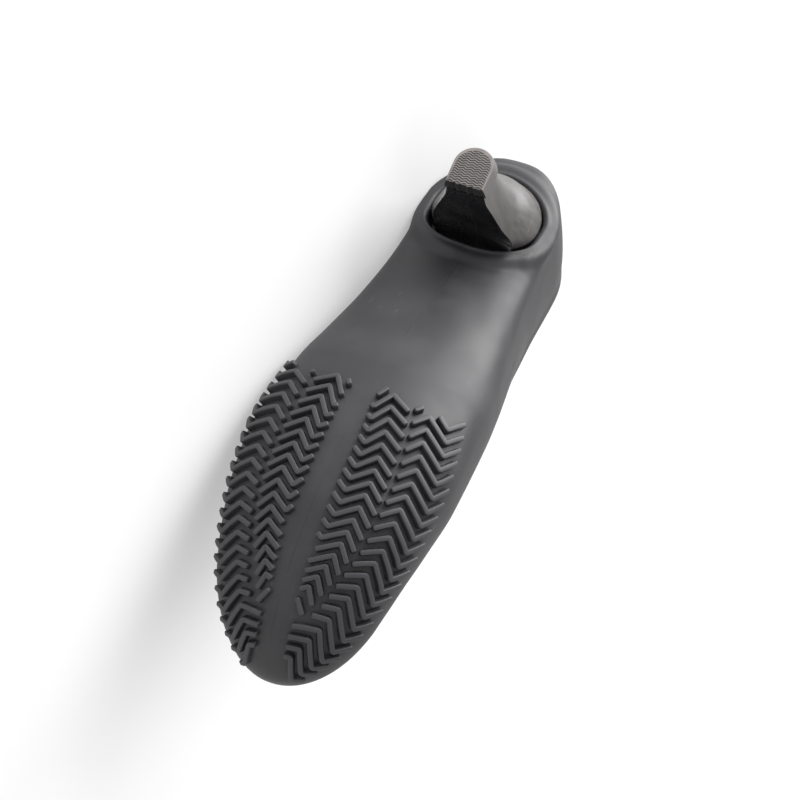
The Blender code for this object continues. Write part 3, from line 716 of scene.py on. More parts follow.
@dataclass(frozen=True)
class CoverMoulding:
    """The one-piece silicone cover: two-sided wall, rolled collar, rimmed opening and tread."""

    form: LastForm
    opening: HeelOpening
    tread: Tread
    wall: float = 0.0018
    sole_wall: float = 0.0026
    collar_bead: float = 0.0008
    collar_bead_reach: float = 0.006
    rim_height: float = 0.0021
    rim_lip_start: float = 0.0010
    rim_lip_radius: float = 0.0013
    rim_reach: float = 0.0092
    patch_back: float = 0.0008
    patch_front: float = 0.0660
    patch_above_widest: float = 0.15
    patch_rings: int = 24
    rim_flat_share: float = 0.42
    lip_bead: float = 0.0005
    lip_bead_place: float = 0.0012
    lip_lean: float = 0.0010
    lean_reach: float = 0.0045
    lean_front: Pair = (0.038, 0.046)
    side_slopes: Pair = (-0.6, 0.15)
    roll_points: int = 9
    creases: tuple[Crease, ...] = (
        Crease(((0.0385, -0.0270, 0.0550), (0.0447, -0.0264, 0.0520), (0.0515, -0.0240, 0.0484)),
               0.0006, 0.0055),
        Crease(((0.0570, -0.0020, 0.0433), (0.0576, -0.0070, 0.0432), (0.0574, -0.0105, 0.0434)),
               -0.0006, 0.0065),
        Crease(((0.0680, -0.0195, 0.0405), (0.0733, -0.0212, 0.0389), (0.0860, -0.0255, 0.0353)),
               0.0004, 0.0100),
    )

    def grid(self) -> tuple[Array, Array]:
        """Lengthwise places and places round the section of the wall's grid.

        The stations stand closer together at the heel, throat and toe, as a cosine does.
        """
        throat = self.form.throat_station * self.form.length
        rear = throat * (1 - np.cos(np.linspace(0, math.pi, 91))) / 2
        front = throat + (self.form.length - throat) * np.sin(np.linspace(0, math.pi / 2, 66))
        upper = np.linspace(2.0, 1.0, 25)
        lower = np.linspace(1.0, -1.0, 65)
        rounds = np.concatenate([upper, lower[1:], -upper[::-1][1:]])
        return np.concatenate([rear, front[1:]]), rounds

    def patch_loop(self, stations: Array, rounds: Array) -> tuple[Array, Array, Array]:
        """The closed loop of grid points round the patch that holds the opening.

        Args:
            stations: Lengthwise places of the grid.
            rounds: Places round the section of the grid.

        Returns:
            Row and column numbers along the loop, and whether each quad of the grid is kept.
        """
        i0, i1 = np.searchsorted(stations, (self.patch_back, self.patch_front))
        j0 = int(np.argmin(np.abs(rounds - 1.0 - self.patch_above_widest)))
        j1 = len(rounds) - 1 - j0
        rows = np.concatenate([np.full(j1 - j0, i1), np.arange(i1, i0, -1),
                               np.full(j1 - j0, i0), np.arange(i0, i1)])
        columns = np.concatenate([np.arange(j0, j1), np.full(i1 - i0, j1),
                                  np.arange(j1, j0, -1), np.full(i1 - i0, j0)])
        inside = np.zeros((len(stations) - 1, len(rounds) - 1), bool)
        inside[i0:i1, j0:j1] = True
        return rows, columns, ~inside.ravel()

    def base(self) -> tuple[Array, Array, Array, dict[str, Array]]:
        """The plain outer form with the opening in it.

        The patch's rings run from the opening's outline to the grid's loop, in the space of x and
        q; a ring's share of the way is the square of its number, so that they crowd at the lip.

        Returns:
            Points, quads, the outward distance from the opening's edge, and point numbers of the
            opening's edge, the collar path and the underside.
        """
        stations, rounds = self.grid()
        x, q = np.meshgrid(stations, rounds, indexing="ij")
        wall = self.form.surface(x, q).reshape(-1, 3)
        quads = grid_quads(len(stations), len(rounds))
        rows, columns, kept = self.patch_loop(stations, rounds)
        loop_x, loop_q = stations[rows], rounds[columns]
        middle, half = (loop_x.max() + loop_x.min()) / 2, np.ptp(loop_x) / 2
        turn = np.arctan2(loop_q / loop_q.max(), (loop_x - middle) / half)
        hole_x, hole_y = self.opening.outline(turn)
        hole_q = self.form.around(hole_x, hole_y)
        share = (np.linspace(0.0, 1.0, self.patch_rings + 1) ** 2)[:, None]
        patch = self.form.surface(hole_x + (loop_x - hole_x) * share,
                                  hole_q + (loop_q - hole_q) * share)
        steps = np.linalg.norm(np.diff(patch, axis=0), axis=2)
        outward = np.concatenate([np.zeros((1, len(rows))), np.cumsum(steps, axis=0)])
        patch_quads = grid_quads(self.patch_rings + 1, len(rows), closed=True) + len(wall)
        points = np.concatenate([wall, patch.reshape(-1, 3)])
        distance = np.concatenate([np.full(len(wall), 1.0), outward.ravel()])
        throat = int(np.argmin(np.abs(stations - self.form.throat_station * self.form.length)))
        width = len(rounds)
        left = np.arange(throat + 1) * width
        right = np.arange(throat - 1, 0, -1) * width + width - 1
        underside = np.concatenate([np.abs(q).ravel() <= 1.0, np.ones(outward.size, bool)])
        paths = {"opening": len(wall) + np.arange(len(rows)),
                 "collar": np.concatenate([left, right]), "underside": np.flatnonzero(underside)}
        return points, np.concatenate([quads[kept], patch_quads]), distance, paths

    def rim_relief(self, outward: Array) -> Array:
        """How proud the rim stands: a quarter-round lip with a bead, a band and a soft fall.

        Args:
            outward: Distance from the opening's edge.

        Returns:
            Height over the wall.
        """
        rise = (self.rim_height - self.rim_lip_start) * end_round(outward, self.rim_lip_radius)
        fall = 1.0 - smooth_step(self.rim_reach * self.rim_flat_share, self.rim_reach, outward)
        bead = self.lip_bead * hump(self.lip_bead_place, self.lip_bead_place, outward)
        return (self.rim_lip_start + rise) * fall + bead

    def lean(self, points: Array, outward: Array) -> Array:
        """Move of the rim's lip in towards the heel, round the back and sides of the opening.

        Args:
            points: Points of the plain form.
            outward: Their distance from the opening's edge.

        Returns:
            Moves of the points.
        """
        x, y, _ = points.T
        inwards = unit(np.stack([self.opening.centre - x, -y, np.zeros_like(x)], axis=1))
        near = 1.0 - smooth_step(0.0, self.lean_reach, outward)
        behind = 1.0 - smooth_step(*self.lean_front, x)
        return inwards * (self.lip_lean * near * behind)[:, None]

    def build(self) -> Sheet:
        """The whole moulding as one closed surface, with the tread's bars standing in it."""
        points, quads, outward, paths = self.base()
        normals = point_normals(points, quads)
        collar_line = points[paths["collar"]]
        to_collar = np.linalg.norm(points[:, None] - collar_line[None], axis=2).min(axis=1)
        bead = self.collar_bead * (1.0 - smooth_step(0.0, self.collar_bead_reach, to_collar))
        folds = sum(crease.relief(points) for crease in self.creases)
        relief = bead + self.rim_relief(outward) + folds
        outer = points + normals * relief[:, None] + self.lean(points, outward)
        side = smooth_step(*self.side_slopes, normals[:, 2])
        thickness = self.sole_wall + (self.wall - self.sole_wall) * side + bead
        inner = points - normals * thickness[:, None]
        underside = np.zeros(len(points))
        underside[paths["underside"]] = 1.0
        collar, opening = paths["collar"], paths["opening"]
        return Sheet.joined([
            Sheet(outer, quads, {"underside": underside}),
            Sheet(inner, quads).flipped(),
            self.collar_roll(outer[collar], inner[collar], normals[collar]),
            self.opening_wall(outer[opening], inner[opening]),
            self.tread.build(),
        ])

    def collar_roll(self, outer: Array, inner: Array, normals: Array) -> Sheet:
        """Half-round edge of the collar, carried along the collar path from outer to inner wall.

        Args:
            outer: Collar edge of the outer wall, a closed path.
            inner: Collar edge of the inner wall.
            normals: Outward normals along the path.

        Returns:
            The rolled edge.
        """
        upward = unit(np.cross(np.roll(outer, -1, axis=0) - np.roll(outer, 1, axis=0), normals))
        half, middle = (outer - inner) / 2, (outer + inner) / 2
        rise = upward * np.linalg.norm(half, axis=1, keepdims=True)
        turn = np.linspace(0.0, math.pi, self.roll_points)[None, :, None]
        roll = middle[:, None] + half[:, None] * np.cos(turn) + rise[:, None] * np.sin(turn)
        roll = np.concatenate([roll, roll[:1]])
        return Sheet(roll.reshape(-1, 3), grid_quads(len(roll), self.roll_points)).flipped()

    def opening_wall(self, outer: Array, inner: Array) -> Sheet:
        """Wall of the opening, straight from the rim's lip to the inner wall."""
        share = np.linspace(0.0, 1.0, 5)[None, :, None]
        wall = outer[:, None] * (1 - share) + inner[:, None] * share
        wall = np.concatenate([wall, wall[:1]])
        return Sheet(wall.reshape(-1, 3), grid_quads(len(wall), 5))

    def dress(self, pose: RestingPose, silicone: bpy.types.Material) -> bpy.types.Object:
        """Makes the cover's object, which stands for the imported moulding."""
        piece = make_piece("cover_moulding", self.build(), pose, [silicone], 62.0)
        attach(piece, "root")
        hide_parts("cover_upper_and_sole")
        return piece


@dataclass(frozen=True)
class HeelForm:
    """Level sections of the hard heel, from its neck in the opening down to the top lift."""

    form: LastForm
    opening: HeelOpening
    neck_level: float = 0.0490
    rim_height: float = 0.0022
    columns: tuple[str, ...] = ("height", "front", "back", "half", "breast_half", "hollow",
                                "sway", "twist")
    sections: tuple[tuple[float, ...], ...] = (
        (0.0053, 0.0520, 0.0349, 0.00770, 0.0075, 0.0000, -0.0023, 0.0),
        (0.0110, 0.0512, 0.0338, 0.00830, 0.0081, 0.0004, -0.0019, 1.0),
        (0.0200, 0.0498, 0.0316, 0.01070, 0.0105, 0.0008, -0.0014, 2.4),
        (0.0310, 0.0484, 0.0272, 0.01420, 0.0139, 0.0012, -0.0008, 4.0),
        (0.0400, 0.0475, 0.0212, 0.01820, 0.0168, 0.0015, -0.0012, 5.0),
        (0.0490, 0.0475, 0.0150, 0.02160, 0.0166, 0.0010, -0.0005, 5.5),
    )
    arc_points: int = 100
    breast_points: int = 44
    easing_passes: int = 3

    def outline(self, front: Array, back: Array, half: Array, breast_half: Array,
                hollow: Array) -> tuple[Array, Array]:
        """Outlines of sections: an arc round the back, then the hollowed breast, one row a section.

        Behind the widest place the arc is a circle of the half width, in front of it an ellipse to
        the breast corners; the breast is a parabola between them. Points crowd at the corners,
        which passes of averaging each point with its neighbours then ease.

        Args:
            front: Place of the breast corners.
            back: Place of the back.
            half: Half width.
            breast_half: Half width of the breast.
            hollow: Depth of the breast's hollow.

        Returns:
            x and y of the points.
        """
        sizes = (front, back, half, breast_half, hollow)
        front, back, half, breast_half, hollow = (np.atleast_1d(size)[:, None] for size in sizes)
        widest = back + half
        corner_turn = np.arccos(breast_half / half)
        crowd = np.sin(np.linspace(-1, 1, self.arc_points) * math.pi / 2)
        turn = math.pi + crowd * (math.pi / 2 + corner_turn)
        reach = np.where(np.cos(turn) > 0, (front - widest) / np.sin(corner_turn), half)
        share = np.sin(np.linspace(-1, 1, self.breast_points + 2)[1:-1] * math.pi / 2)
        arc = np.stack([widest + reach * np.cos(turn), half * np.sin(turn)])
        breast = np.stack([front - hollow * (1 - share ** 2), share * breast_half])
        plan = np.concatenate([arc, breast], axis=2)
        for _ in range(self.easing_passes):
            plan = (np.roll(plan, 1, axis=2) + 2 * plan + np.roll(plan, -1, axis=2)) / 4
        return plan[0], plan[1]

    def leaning(self, x: Array, y: Array, sway: Array, twist: Array) -> tuple[Array, Array]:
        """Outlines turned about the middle of the opening by twist degrees and moved sideways."""
        turn = np.radians(np.atleast_1d(twist))[:, None]
        ahead = x - self.opening.centre
        turned = self.opening.centre + ahead * np.cos(turn) - y * np.sin(turn)
        return turned, ahead * np.sin(turn) + y * np.cos(turn) + np.atleast_1d(sway)[:, None]

    def at(self, levels: Array, grow: float = 0.0) -> tuple[Array, Array]:
        """Outlines at those levels, each size a smooth curve through the table.

        Args:
            levels: Heights above the ground.
            grow: How far the sides and back, and the front if this is negative, move outwards.

        Returns:
            x and y of the points, a row to a level.
        """
        table = np.array(self.sections).T
        curves = [monotone_cubic(table[0], row, levels) for row in table]
        size = dict(zip(self.columns, curves))
        x, y = self.outline(size["front"] + min(grow, 0.0), size["back"] - grow,
                            size["half"] + grow, size["breast_half"] + grow, size["hollow"])
        return self.leaning(x, y, size["sway"], size["twist"])


@dataclass(frozen=True)
class HeelBlock:
    """The hard heel: a plain seat inside the cover, a neck through the opening, a flared stem."""

    heel: HeelForm
    stem_rows: int = 70
    neck_start: float = 0.040
    foot_share: float = 0.92
    seat_front_cut: float = 0.004
    seat_edge: float = 0.0004
    seat_ease: float = 0.985
    seat_rings: int = 8
    seat_overlap: float = 0.0010
    seat_thickness: float = 0.0030
    seat_gap: float = 0.0012
    seat_breast_half: float = 0.0168
    corner_wrap: int = 20
    sole_wall: float = 0.0026

    def inner_height(self, x: Array, y: Array) -> Array:
        """Height of the sole's inside: the underside's plus the wall along its normal."""
        upright = -self.heel.form.underside_normal(x, y)[..., 2]
        return self.heel.form.bottom_height(x, y) + self.sole_wall / upright

    def stem(self) -> Array:
        """Rows of the stem from the lift joint up to the neck, whose top follows the underside."""
        heel = self.heel
        foot = heel.sections[0][0]
        levels = foot + (heel.neck_level - foot) * np.linspace(0.0, 1.0, self.stem_rows)
        x, y = heel.at(levels)
        neck = heel.form.bottom_height(x, y) - heel.rim_height
        follow = smooth_step(self.neck_start, heel.neck_level, levels)[:, None]
        height = levels[:, None] + follow * (neck - heel.neck_level)
        return np.stack([x, y, height], axis=-1)

    def seat(self) -> Array:
        """Rows of the hidden seat: neck through the wall, seat bottom, seat edge and seat top."""
        heel = self.heel
        x, y = heel.at(np.array([heel.neck_level]))
        neck = np.stack([x, y, self.inner_height(x, y) + self.seat_gap], axis=-1)
        centre, reach, over = heel.opening.centre, heel.opening.length / 2, self.seat_overlap
        wide_x, wide_y = heel.outline(centre + reach - self.seat_front_cut, centre - reach - over,
                                      heel.opening.width / 2 + over, self.seat_breast_half,
                                      -(self.seat_front_cut + over))
        thick, edge = self.seat_thickness, self.seat_edge
        rises = np.full(4 + self.seat_rings, thick)
        rises[:4] = self.seat_gap + np.array([0.0, edge, thick - edge, thick])
        ends = [self.seat_ease, 1.0, 1.0, self.seat_ease]
        shares = np.concatenate([ends, np.linspace(0.9, 0.0, self.seat_rings)])[:, None]
        x, y = centre + (wide_x - centre) * shares, wide_y * shares
        seat = np.stack([x, y, self.inner_height(x, y) + rises[:, None]], axis=-1)
        return np.concatenate([neck, seat])

    def build(self) -> Sheet:
        """The heel as one closed surface; finish 0 is its side and back, 1 its breast and seat."""
        stem = self.stem()
        middle = stem[0].mean(axis=0)
        foot = middle + (stem[0] - middle) * np.linspace(0.0, self.foot_share, 6)[:, None, None]
        rows = np.concatenate([foot, stem, self.seat()])
        count = rows.shape[1]
        quads = grid_quads(len(rows), count, closed=True)
        row, column = np.divmod(quads[:, 0], count)
        neck_row = len(foot) + len(stem) - 1
        front = (column >= self.heel.arc_points - 1) | (column < self.corner_wrap)
        black = ((row >= len(foot) - 1) & front) | (row >= neck_row)
        return Sheet(rows.reshape(-1, 3), quads, {}, black.astype(int)).outward()

    def dress(self, pose: RestingPose, wrap: bpy.types.Material,
              breast: bpy.types.Material) -> bpy.types.Object:
        """Makes the heel's object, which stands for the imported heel."""
        piece = make_piece("heel_stem", self.build(), pose, [wrap, breast], 48.0)
        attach(piece, "root")
        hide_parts("heel_block")
        return piece


@dataclass(frozen=True)
class TopLift:
    """The worn rubber top lift: patterned face, rubbed edge, flared sides and chipped front."""

    heel: HeelForm
    thickness: float = 0.0050
    overhang: float = 0.0009
    flare: float = 0.0010
    edge_round: float = 0.0005
    side_border: float = 0.0009
    back_border: float = 0.0017
    front_border: float = 0.0001
    wear: float = 0.00012
    wear_reach: float = 0.004
    face_rings: int = 30
    side_levels: tuple[float, ...] = (0.0012, 0.0022, 0.0033, 0.0042, 0.0048, 0.0050)
    top_ease: float = 0.985
    edge_face: float = 0.7
    chip_height: float = 0.00016
    chip_ripples: tuple[Point, ...] = ((1.0, 2900, 0.0), (1.0, 1730, 1.1), (0.7, 5300, 2.0))

    def outline(self, grow: float) -> Array:
        """Outline of the lift in plan, its front edge chipped by a few fixed ripples."""
        x, y = (row[0] for row in self.heel.at(np.array([self.heel.sections[0][0]]), grow))
        front = np.arange(len(x)) >= self.heel.arc_points - 1
        ripples = sum(share * np.sin(y * wave + phase) for share, wave, phase in self.chip_ripples)
        off_middle = np.abs(y - y.mean())
        inner = 1.0 - (off_middle / off_middle.max()) ** 6
        return np.stack([x + np.where(front, self.chip_height * ripples * inner, 0.0), y], axis=1)

    def build(self) -> Sheet:
        """The lift as one closed surface: face, rounded edge, side and hidden top."""
        rim, top_rim = self.outline(self.overhang - self.flare), self.outline(self.overhang)
        middle = rim.mean(axis=0)
        reach = np.linalg.norm(rim - middle, axis=1)
        inset = self.edge_round / reach
        shares = np.linspace(0.0, 1.0, self.face_rings + 1)[:, None] * (1.0 - inset)
        border = (1.0 - shares) * reach
        face = middle + (rim - middle) * shares[..., None]
        backness = np.clip((middle[0] - rim[:, 0]) / (middle[0] - rim[:, 0].min()), 0.0, 1.0)
        plain = self.side_border + (self.back_border - self.side_border) * backness
        plain[self.heel.arc_points - 1:] = self.front_border
        worn = self.wear * smooth_step(self.wear_reach, 0.0, border)
        turn = np.linspace(0.0, math.pi / 2, 5)[1:, None]
        edge = middle + (rim - middle) * (1.0 - inset * (1.0 - np.sin(turn)))[..., None]
        edge_up = worn[-1] + self.edge_round * (1 - np.cos(turn))
        levels = np.array(self.side_levels)[:, None]
        side = rim + (top_rim - rim) * (levels / self.thickness)[..., None]
        side[-1] = middle + (side[-1] - middle) * self.top_ease
        lid = middle + (top_rim - middle) * np.linspace(0.9, 0.0, 6)[:, None, None]
        rows = np.concatenate([raised(face, worn), raised(edge, edge_up), raised(side, levels),
                               raised(lid, self.thickness)])
        faces, count = len(face), rows.shape[1]
        pattern, flat, front = np.zeros((3, len(rows), count))
        pattern[:faces] = np.clip(border / np.maximum(plain, TINY), 0.0, 2.0)
        flat[:faces] = 1.0
        flat[faces:faces + 2] = self.edge_face
        front[faces:, self.heel.arc_points - 1:] = 1.0
        values = {"pattern": pattern.ravel(), "face": flat.ravel(), "front": front.ravel()}
        quads = grid_quads(len(rows), count, closed=True)
        return Sheet(rows.reshape(-1, 3), quads, values).outward()

    def dress(self, pose: RestingPose, rubber: bpy.types.Material) -> bpy.types.Object:
        """Makes the lift's object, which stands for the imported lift."""
        piece = make_piece("top_lift", self.build(), pose, [rubber], 55.0)
        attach(piece, "root")
        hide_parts("heel_top_lift")
        return piece


class NodeSheet:
    """Adds and joins the nodes of one material or group."""

    def __init__(self, tree: bpy.types.NodeTree) -> None:
        """Starts on a node tree."""
        self.tree = tree

    def feed(self, target: Socket, source: Source) -> None:
        """Links a source to an input, or sets the input to a plain value."""
        if isinstance(source, bpy.types.NodeSocket):
            self.tree.links.new(source, target)
        else:
            target.default_value = source

    def add(self, kind: str, inputs: dict[str | int, Source] | None = None,
            **settings: object) -> bpy.types.Node:
        """Adds a node.

        Args:
            kind: Blender's name for the node.
            inputs: Values or sockets for its inputs, by name or number.
            settings: Properties of the node.

        Returns:
            The new node.
        """
        node = self.tree.nodes.new(kind)
        for name, setting in settings.items():
            setattr(node, name, setting)
        for name, source in (inputs or {}).items():
            self.feed(node.inputs[name], source)
        return node

    def math(self, how: Op, *sources: Source) -> Socket:
        """A value worked out from one or two others."""
        inputs = dict(enumerate(sources))
        return self.add("ShaderNodeMath", inputs, operation=how.value).outputs[0]

    def times(self, first: Source, second: Source) -> Socket:
        """The product of two values."""
        return self.math(Op.MULTIPLY, first, second)

    def plus(self, first: Source, second: Source) -> Socket:
        """The sum of two values."""
        return self.math(Op.ADD, first, second)

    def ramp(self, value: Socket, low: float, high: float, start: float = 0.0,
             end: float = 1.0) -> Socket:
        """A smooth ramp from start to end as value goes from low to high."""
        inputs = {"Value": value, "From Min": low, "From Max": high, "To Min": start, "To Max": end}
        node = self.add("ShaderNodeMapRange", inputs, interpolation_type="SMOOTHSTEP")
        return node.outputs["Result"]

    def mix(self, share: Socket, first: Source, second: Source) -> Socket:
        """A colour between first and second; 6 and 7 are the Mix node's colour inputs."""
        inputs = {0: share, 6: first, 7: second}
        return self.add("ShaderNodeMix", inputs, data_type="RGBA").outputs[2]

    def value(self, name: str) -> Socket:
        """One of the piece's own values."""
        return self.add("ShaderNodeAttribute", attribute_name=name).outputs["Fac"]

    def split(self, place: Socket) -> bpy.types.bpy_prop_collection:
        """The coordinates of a place, by their letters."""
        return self.add("ShaderNodeSeparateXYZ", {0: place}).outputs

    def mapped(self, place: Socket, **inputs: object) -> Socket:
        """A place moved, turned or stretched by a Mapping node's inputs."""
        node = self.add("ShaderNodeMapping", {"Vector": place, **inputs}, vector_type="POINT")
        return node.outputs[0]

    def noise(self, place: Socket, scale: float, detail: float = 3.0) -> Socket:
        """Noise of that many cells to the metre."""
        inputs = {"Vector": place, "Scale": scale, "Detail": detail, "Roughness": 0.55}
        return self.add("ShaderNodeTexNoise", inputs).outputs["Fac"]


class PatternGroup:
    """A shared node group: values worked out from a place and two numbers of cells to the metre."""

    def __init__(self, name: str, cells: tuple[str, str], outputs: tuple[str, ...]) -> None:
        """Starts the group.

        Args:
            name: Name of the group.
            cells: Names of its two numbers of cells.
            outputs: Names of its values.
        """
        tree = bpy.data.node_groups.new(name, "ShaderNodeTree")
        sockets = [("Place", "INPUT", "NodeSocketVector")]
        sockets += [(label, "INPUT", "NodeSocketFloat") for label in cells]
        sockets += [(label, "OUTPUT", "NodeSocketFloat") for label in outputs]
        for label, way, kind in sockets:
            tree.interface.new_socket(label, in_out=way, socket_type=kind)
        self.cells = cells
        self.nodes = NodeSheet(tree)
        self.given = self.nodes.add("NodeGroupInput").outputs
        self.leave = self.nodes.add("NodeGroupOutput").inputs

    def noise(self, place: Socket, cells: str, detail: float) -> Socket:
        """Noise with one of the group's numbers of cells."""
        inputs = {"Vector": place, "Scale": self.given[cells], "Detail": detail}
        return self.nodes.add("ShaderNodeTexNoise", inputs).outputs["Fac"]

    def place(self, nodes: NodeSheet, place: Socket, cells: Pair) -> bpy.types.bpy_prop_collection:
        """Puts the group into a material and returns its values."""
        inputs = {"Place": place, **dict(zip(self.cells, cells))}
        return nodes.add("ShaderNodeGroup", inputs, node_tree=self.nodes.tree).outputs


class MouldedGrain(PatternGroup):
    """Fine pimpled grain of a moulded skin, with slow clouds in its tone."""

    def __init__(self) -> None:
        """Builds the group: two noises of different scale for height, a slow one for tone."""
        super().__init__("moulded_grain", ("Fine", "Coarse"), ("Height", "Cloud"))
        nodes, place = self.nodes, self.given["Place"]
        fine, coarse = self.noise(place, "Fine", 2.0), self.noise(place, "Coarse", 4.0)
        height = nodes.plus(nodes.times(fine, 0.7), nodes.times(coarse, 0.5))
        nodes.feed(self.leave["Height"], height)
        nodes.feed(self.leave["Cloud"], nodes.ramp(coarse, 0.35, 0.68))


class RubbedMarks(PatternGroup):
    """Sparse scuffs: short pale strokes where a stretched noise peaks inside patches of wear."""

    def __init__(self) -> None:
        """Builds the group: strokes gated by patches."""
        super().__init__("rubbed_marks", ("Strokes", "Patches"), ("Mark",))
        nodes, place = self.nodes, self.given["Place"]
        slanted = nodes.mapped(place, Rotation=(0.0, 0.0, 0.9), Scale=(0.16, 1.0, 1.0))
        stroke, patch = self.noise(slanted, "Strokes", 2.0), self.noise(place, "Patches", 1.0)
        mark = nodes.times(nodes.ramp(stroke, 0.62, 0.74), nodes.ramp(patch, 0.52, 0.70))
        nodes.feed(self.leave["Mark"], mark)


def start_material(name: str, pose: RestingPose) -> tuple[bpy.types.Material, NodeSheet, Socket]:
    """Starts a material whose patterns lie in the shoe's own frame.

    Args:
        name: Name of the material.
        pose: How the shoe lies, which a Mapping node undoes.

    Returns:
        The material, its nodes and the pattern coordinates in metres.
    """
    material = bpy.data.materials.new(name)
    material.use_nodes = True
    nodes = NodeSheet(material.node_tree)
    back = pose.stand_back()
    where = nodes.add("ShaderNodeTexCoord").outputs["Object"]
    place = nodes.mapped(where, Location=back.to_translation(), Rotation=back.to_euler("XYZ"))
    return material, nodes, place


def fill_shader(nodes: NodeSheet, **inputs: Source) -> None:
    """Feeds the material's shader, its inputs named with _ for each space."""
    shader = nodes.tree.nodes["Principled BSDF"]
    for name, source in inputs.items():
        nodes.feed(shader.inputs[name.replace("_", " ")], source)


def bump(nodes: NodeSheet, height: Socket, depth: float) -> Socket:
    """A normal bumped by a height, to that depth in metres."""
    inputs = {"Strength": 1.0, "Distance": depth, "Height": height}
    return nodes.add("ShaderNodeBump", inputs).outputs["Normal"]


@dataclass(frozen=True)
class SiliconeFinish:
    """Matte dark silicone with a fine grain, a slight bloom, a parting line, faint scuffs and rib
    tops painted lighter: partly rub wear, partly a painted highlight.
    """

    dark: Tone = (0.0225, 0.0222, 0.0250, 1.0)
    bloom: Tone = (0.0335, 0.0330, 0.0365, 1.0)
    scuff: Tone = (0.075, 0.075, 0.078, 1.0)
    # Tone of the rib tops: partly rub wear, partly a painted highlight on them.
    worn: Tone = (0.052, 0.052, 0.057, 1.0)
    seam: Tone = (0.010, 0.010, 0.011, 1.0)
    roughness: Pair = (0.50, 0.58)
    grain_cells: Pair = (2600.0, 55.0)
    mark_cells: Pair = (420.0, 38.0)
    break_cells: float = 45.0
    line_half: float = 0.00035
    bump_depth: float = 0.00016

    def build(self, pose: RestingPose, grain: MouldedGrain,
              marks: RubbedMarks) -> bpy.types.Material:
        """Makes the material; the parting line is a thin ridge where y is near 0 underneath."""
        material, nodes, place = start_material("matte_silicone", pose)
        skin = grain.place(nodes, place, self.grain_cells)
        scuffs = marks.place(nodes, place, self.mark_cells)["Mark"]
        off_line = nodes.math(Op.ABSOLUTE, nodes.split(place)["Y"])
        broken = nodes.ramp(nodes.noise(place, self.break_cells, 1.0), 0.42, 0.62, 0.08, 0.7)
        line = nodes.times(nodes.ramp(off_line, 0.3 * self.line_half, self.line_half, 1.0, 0.0),
                           nodes.times(nodes.value("underside"), broken))
        tone = nodes.mix(skin["Cloud"], self.dark, self.bloom)
        tone = nodes.mix(nodes.times(scuffs, 0.5), tone, self.scuff)
        # Rib tops painted lighter: partly rub wear, partly a painted highlight where light falls on
        # them.
        rubbed = nodes.ramp(nodes.value("crest"), 0.80, 1.0, 0.0, 0.55)
        tone = nodes.mix(rubbed, tone, self.worn)
        tone = nodes.mix(nodes.times(line, 0.6), tone, self.seam)
        height = nodes.plus(nodes.times(skin["Height"], 0.12), nodes.times(line, 0.3))
        fill_shader(nodes, Base_Color=tone, Specular_IOR_Level=0.5,
                    Roughness=nodes.ramp(skin["Cloud"], 0.0, 1.0, *self.roughness),
                    Normal=bump(nodes, height, self.bump_depth))
        return material


@dataclass(frozen=True)
class HeelWrapFinish:
    """Satin brown-grey heel covering with soft streaks down the heel, lighter towards the top lift.
    """

    dark: Tone = (0.066, 0.061, 0.060, 1.0)
    light: Tone = (0.108, 0.101, 0.099, 1.0)
    scuff: Tone = (0.200, 0.187, 0.180, 1.0)
    roughness: Pair = (0.34, 0.42)
    grain_cells: Pair = (3000.0, 90.0)
    mark_cells: Pair = (700.0, 90.0)
    streak_cells: float = 420.0
    lightening_heights: Pair = (0.004, 0.030)
    bump_depth: float = 0.00008

    def build(self, pose: RestingPose, grain: MouldedGrain,
              marks: RubbedMarks) -> bpy.types.Material:
        """Makes the material; a streak is noise drawn out along the heel's height."""
        material, nodes, place = start_material("satin_heel_wrap", pose)
        skin = grain.place(nodes, place, self.grain_cells)
        scuffs = marks.place(nodes, place, self.mark_cells)["Mark"]
        drawn = nodes.mapped(place, Scale=(1.0, 1.0, 0.05))
        streak = nodes.ramp(nodes.noise(drawn, self.streak_cells), 0.36, 0.66)
        # Tone ramp with height: lighter near the top lift, fading to none by 30 mm up the heel.
        worn = nodes.ramp(nodes.split(place)["Z"], *self.lightening_heights, 0.6, 0.0)
        tone = nodes.mix(nodes.plus(nodes.times(streak, 0.5), worn), self.dark, self.light)
        tone = nodes.mix(nodes.times(scuffs, 0.6), tone, self.scuff)
        height = nodes.plus(nodes.times(skin["Height"], 0.25), nodes.times(streak, 0.2))
        fill_shader(nodes, Base_Color=tone, Normal=bump(nodes, height, self.bump_depth),
                    Roughness=nodes.ramp(streak, 0.0, 1.0, *self.roughness))
        return material


@dataclass(frozen=True)
class BreastFinish:
    """Near-black polished breast of the heel, with a faint line down its middle."""

    dark: Tone = (0.0085, 0.0085, 0.0100, 1.0)
    rubbed: Tone = (0.020, 0.020, 0.021, 1.0)
    roughness: Pair = (0.27, 0.31)
    grain_cells: Pair = (2400.0, 120.0)
    mark_cells: Pair = (800.0, 110.0)
    line_offset: float = 0.0010
    line_halves: Pair = (0.0001, 0.0006)
    bump_depth: float = 0.00008

    def build(self, pose: RestingPose, grain: MouldedGrain,
              marks: RubbedMarks) -> bpy.types.Material:
        """Makes the material; the line is a thin dip where y is near the heel's middle."""
        material, nodes, place = start_material("polished_breast", pose)
        skin = grain.place(nodes, place, self.grain_cells)
        scuffs = marks.place(nodes, place, self.mark_cells)["Mark"]
        off_line = nodes.math(Op.ABSOLUTE, nodes.plus(nodes.split(place)["Y"], self.line_offset))
        line = nodes.ramp(off_line, *self.line_halves, 1.0, 0.0)
        marked = nodes.math(Op.MAXIMUM, nodes.times(line, 0.5), nodes.times(scuffs, 0.12))
        share = nodes.math(Op.MAXIMUM, nodes.times(skin["Cloud"], 0.06), marked)
        height = nodes.math(Op.SUBTRACT, nodes.times(skin["Height"], 0.02), line)
        fill_shader(nodes, Base_Color=nodes.mix(share, self.dark, self.rubbed),
                    Roughness=nodes.ramp(skin["Cloud"], 0.0, 1.0, *self.roughness),
                    Normal=bump(nodes, height, self.bump_depth))
        return material


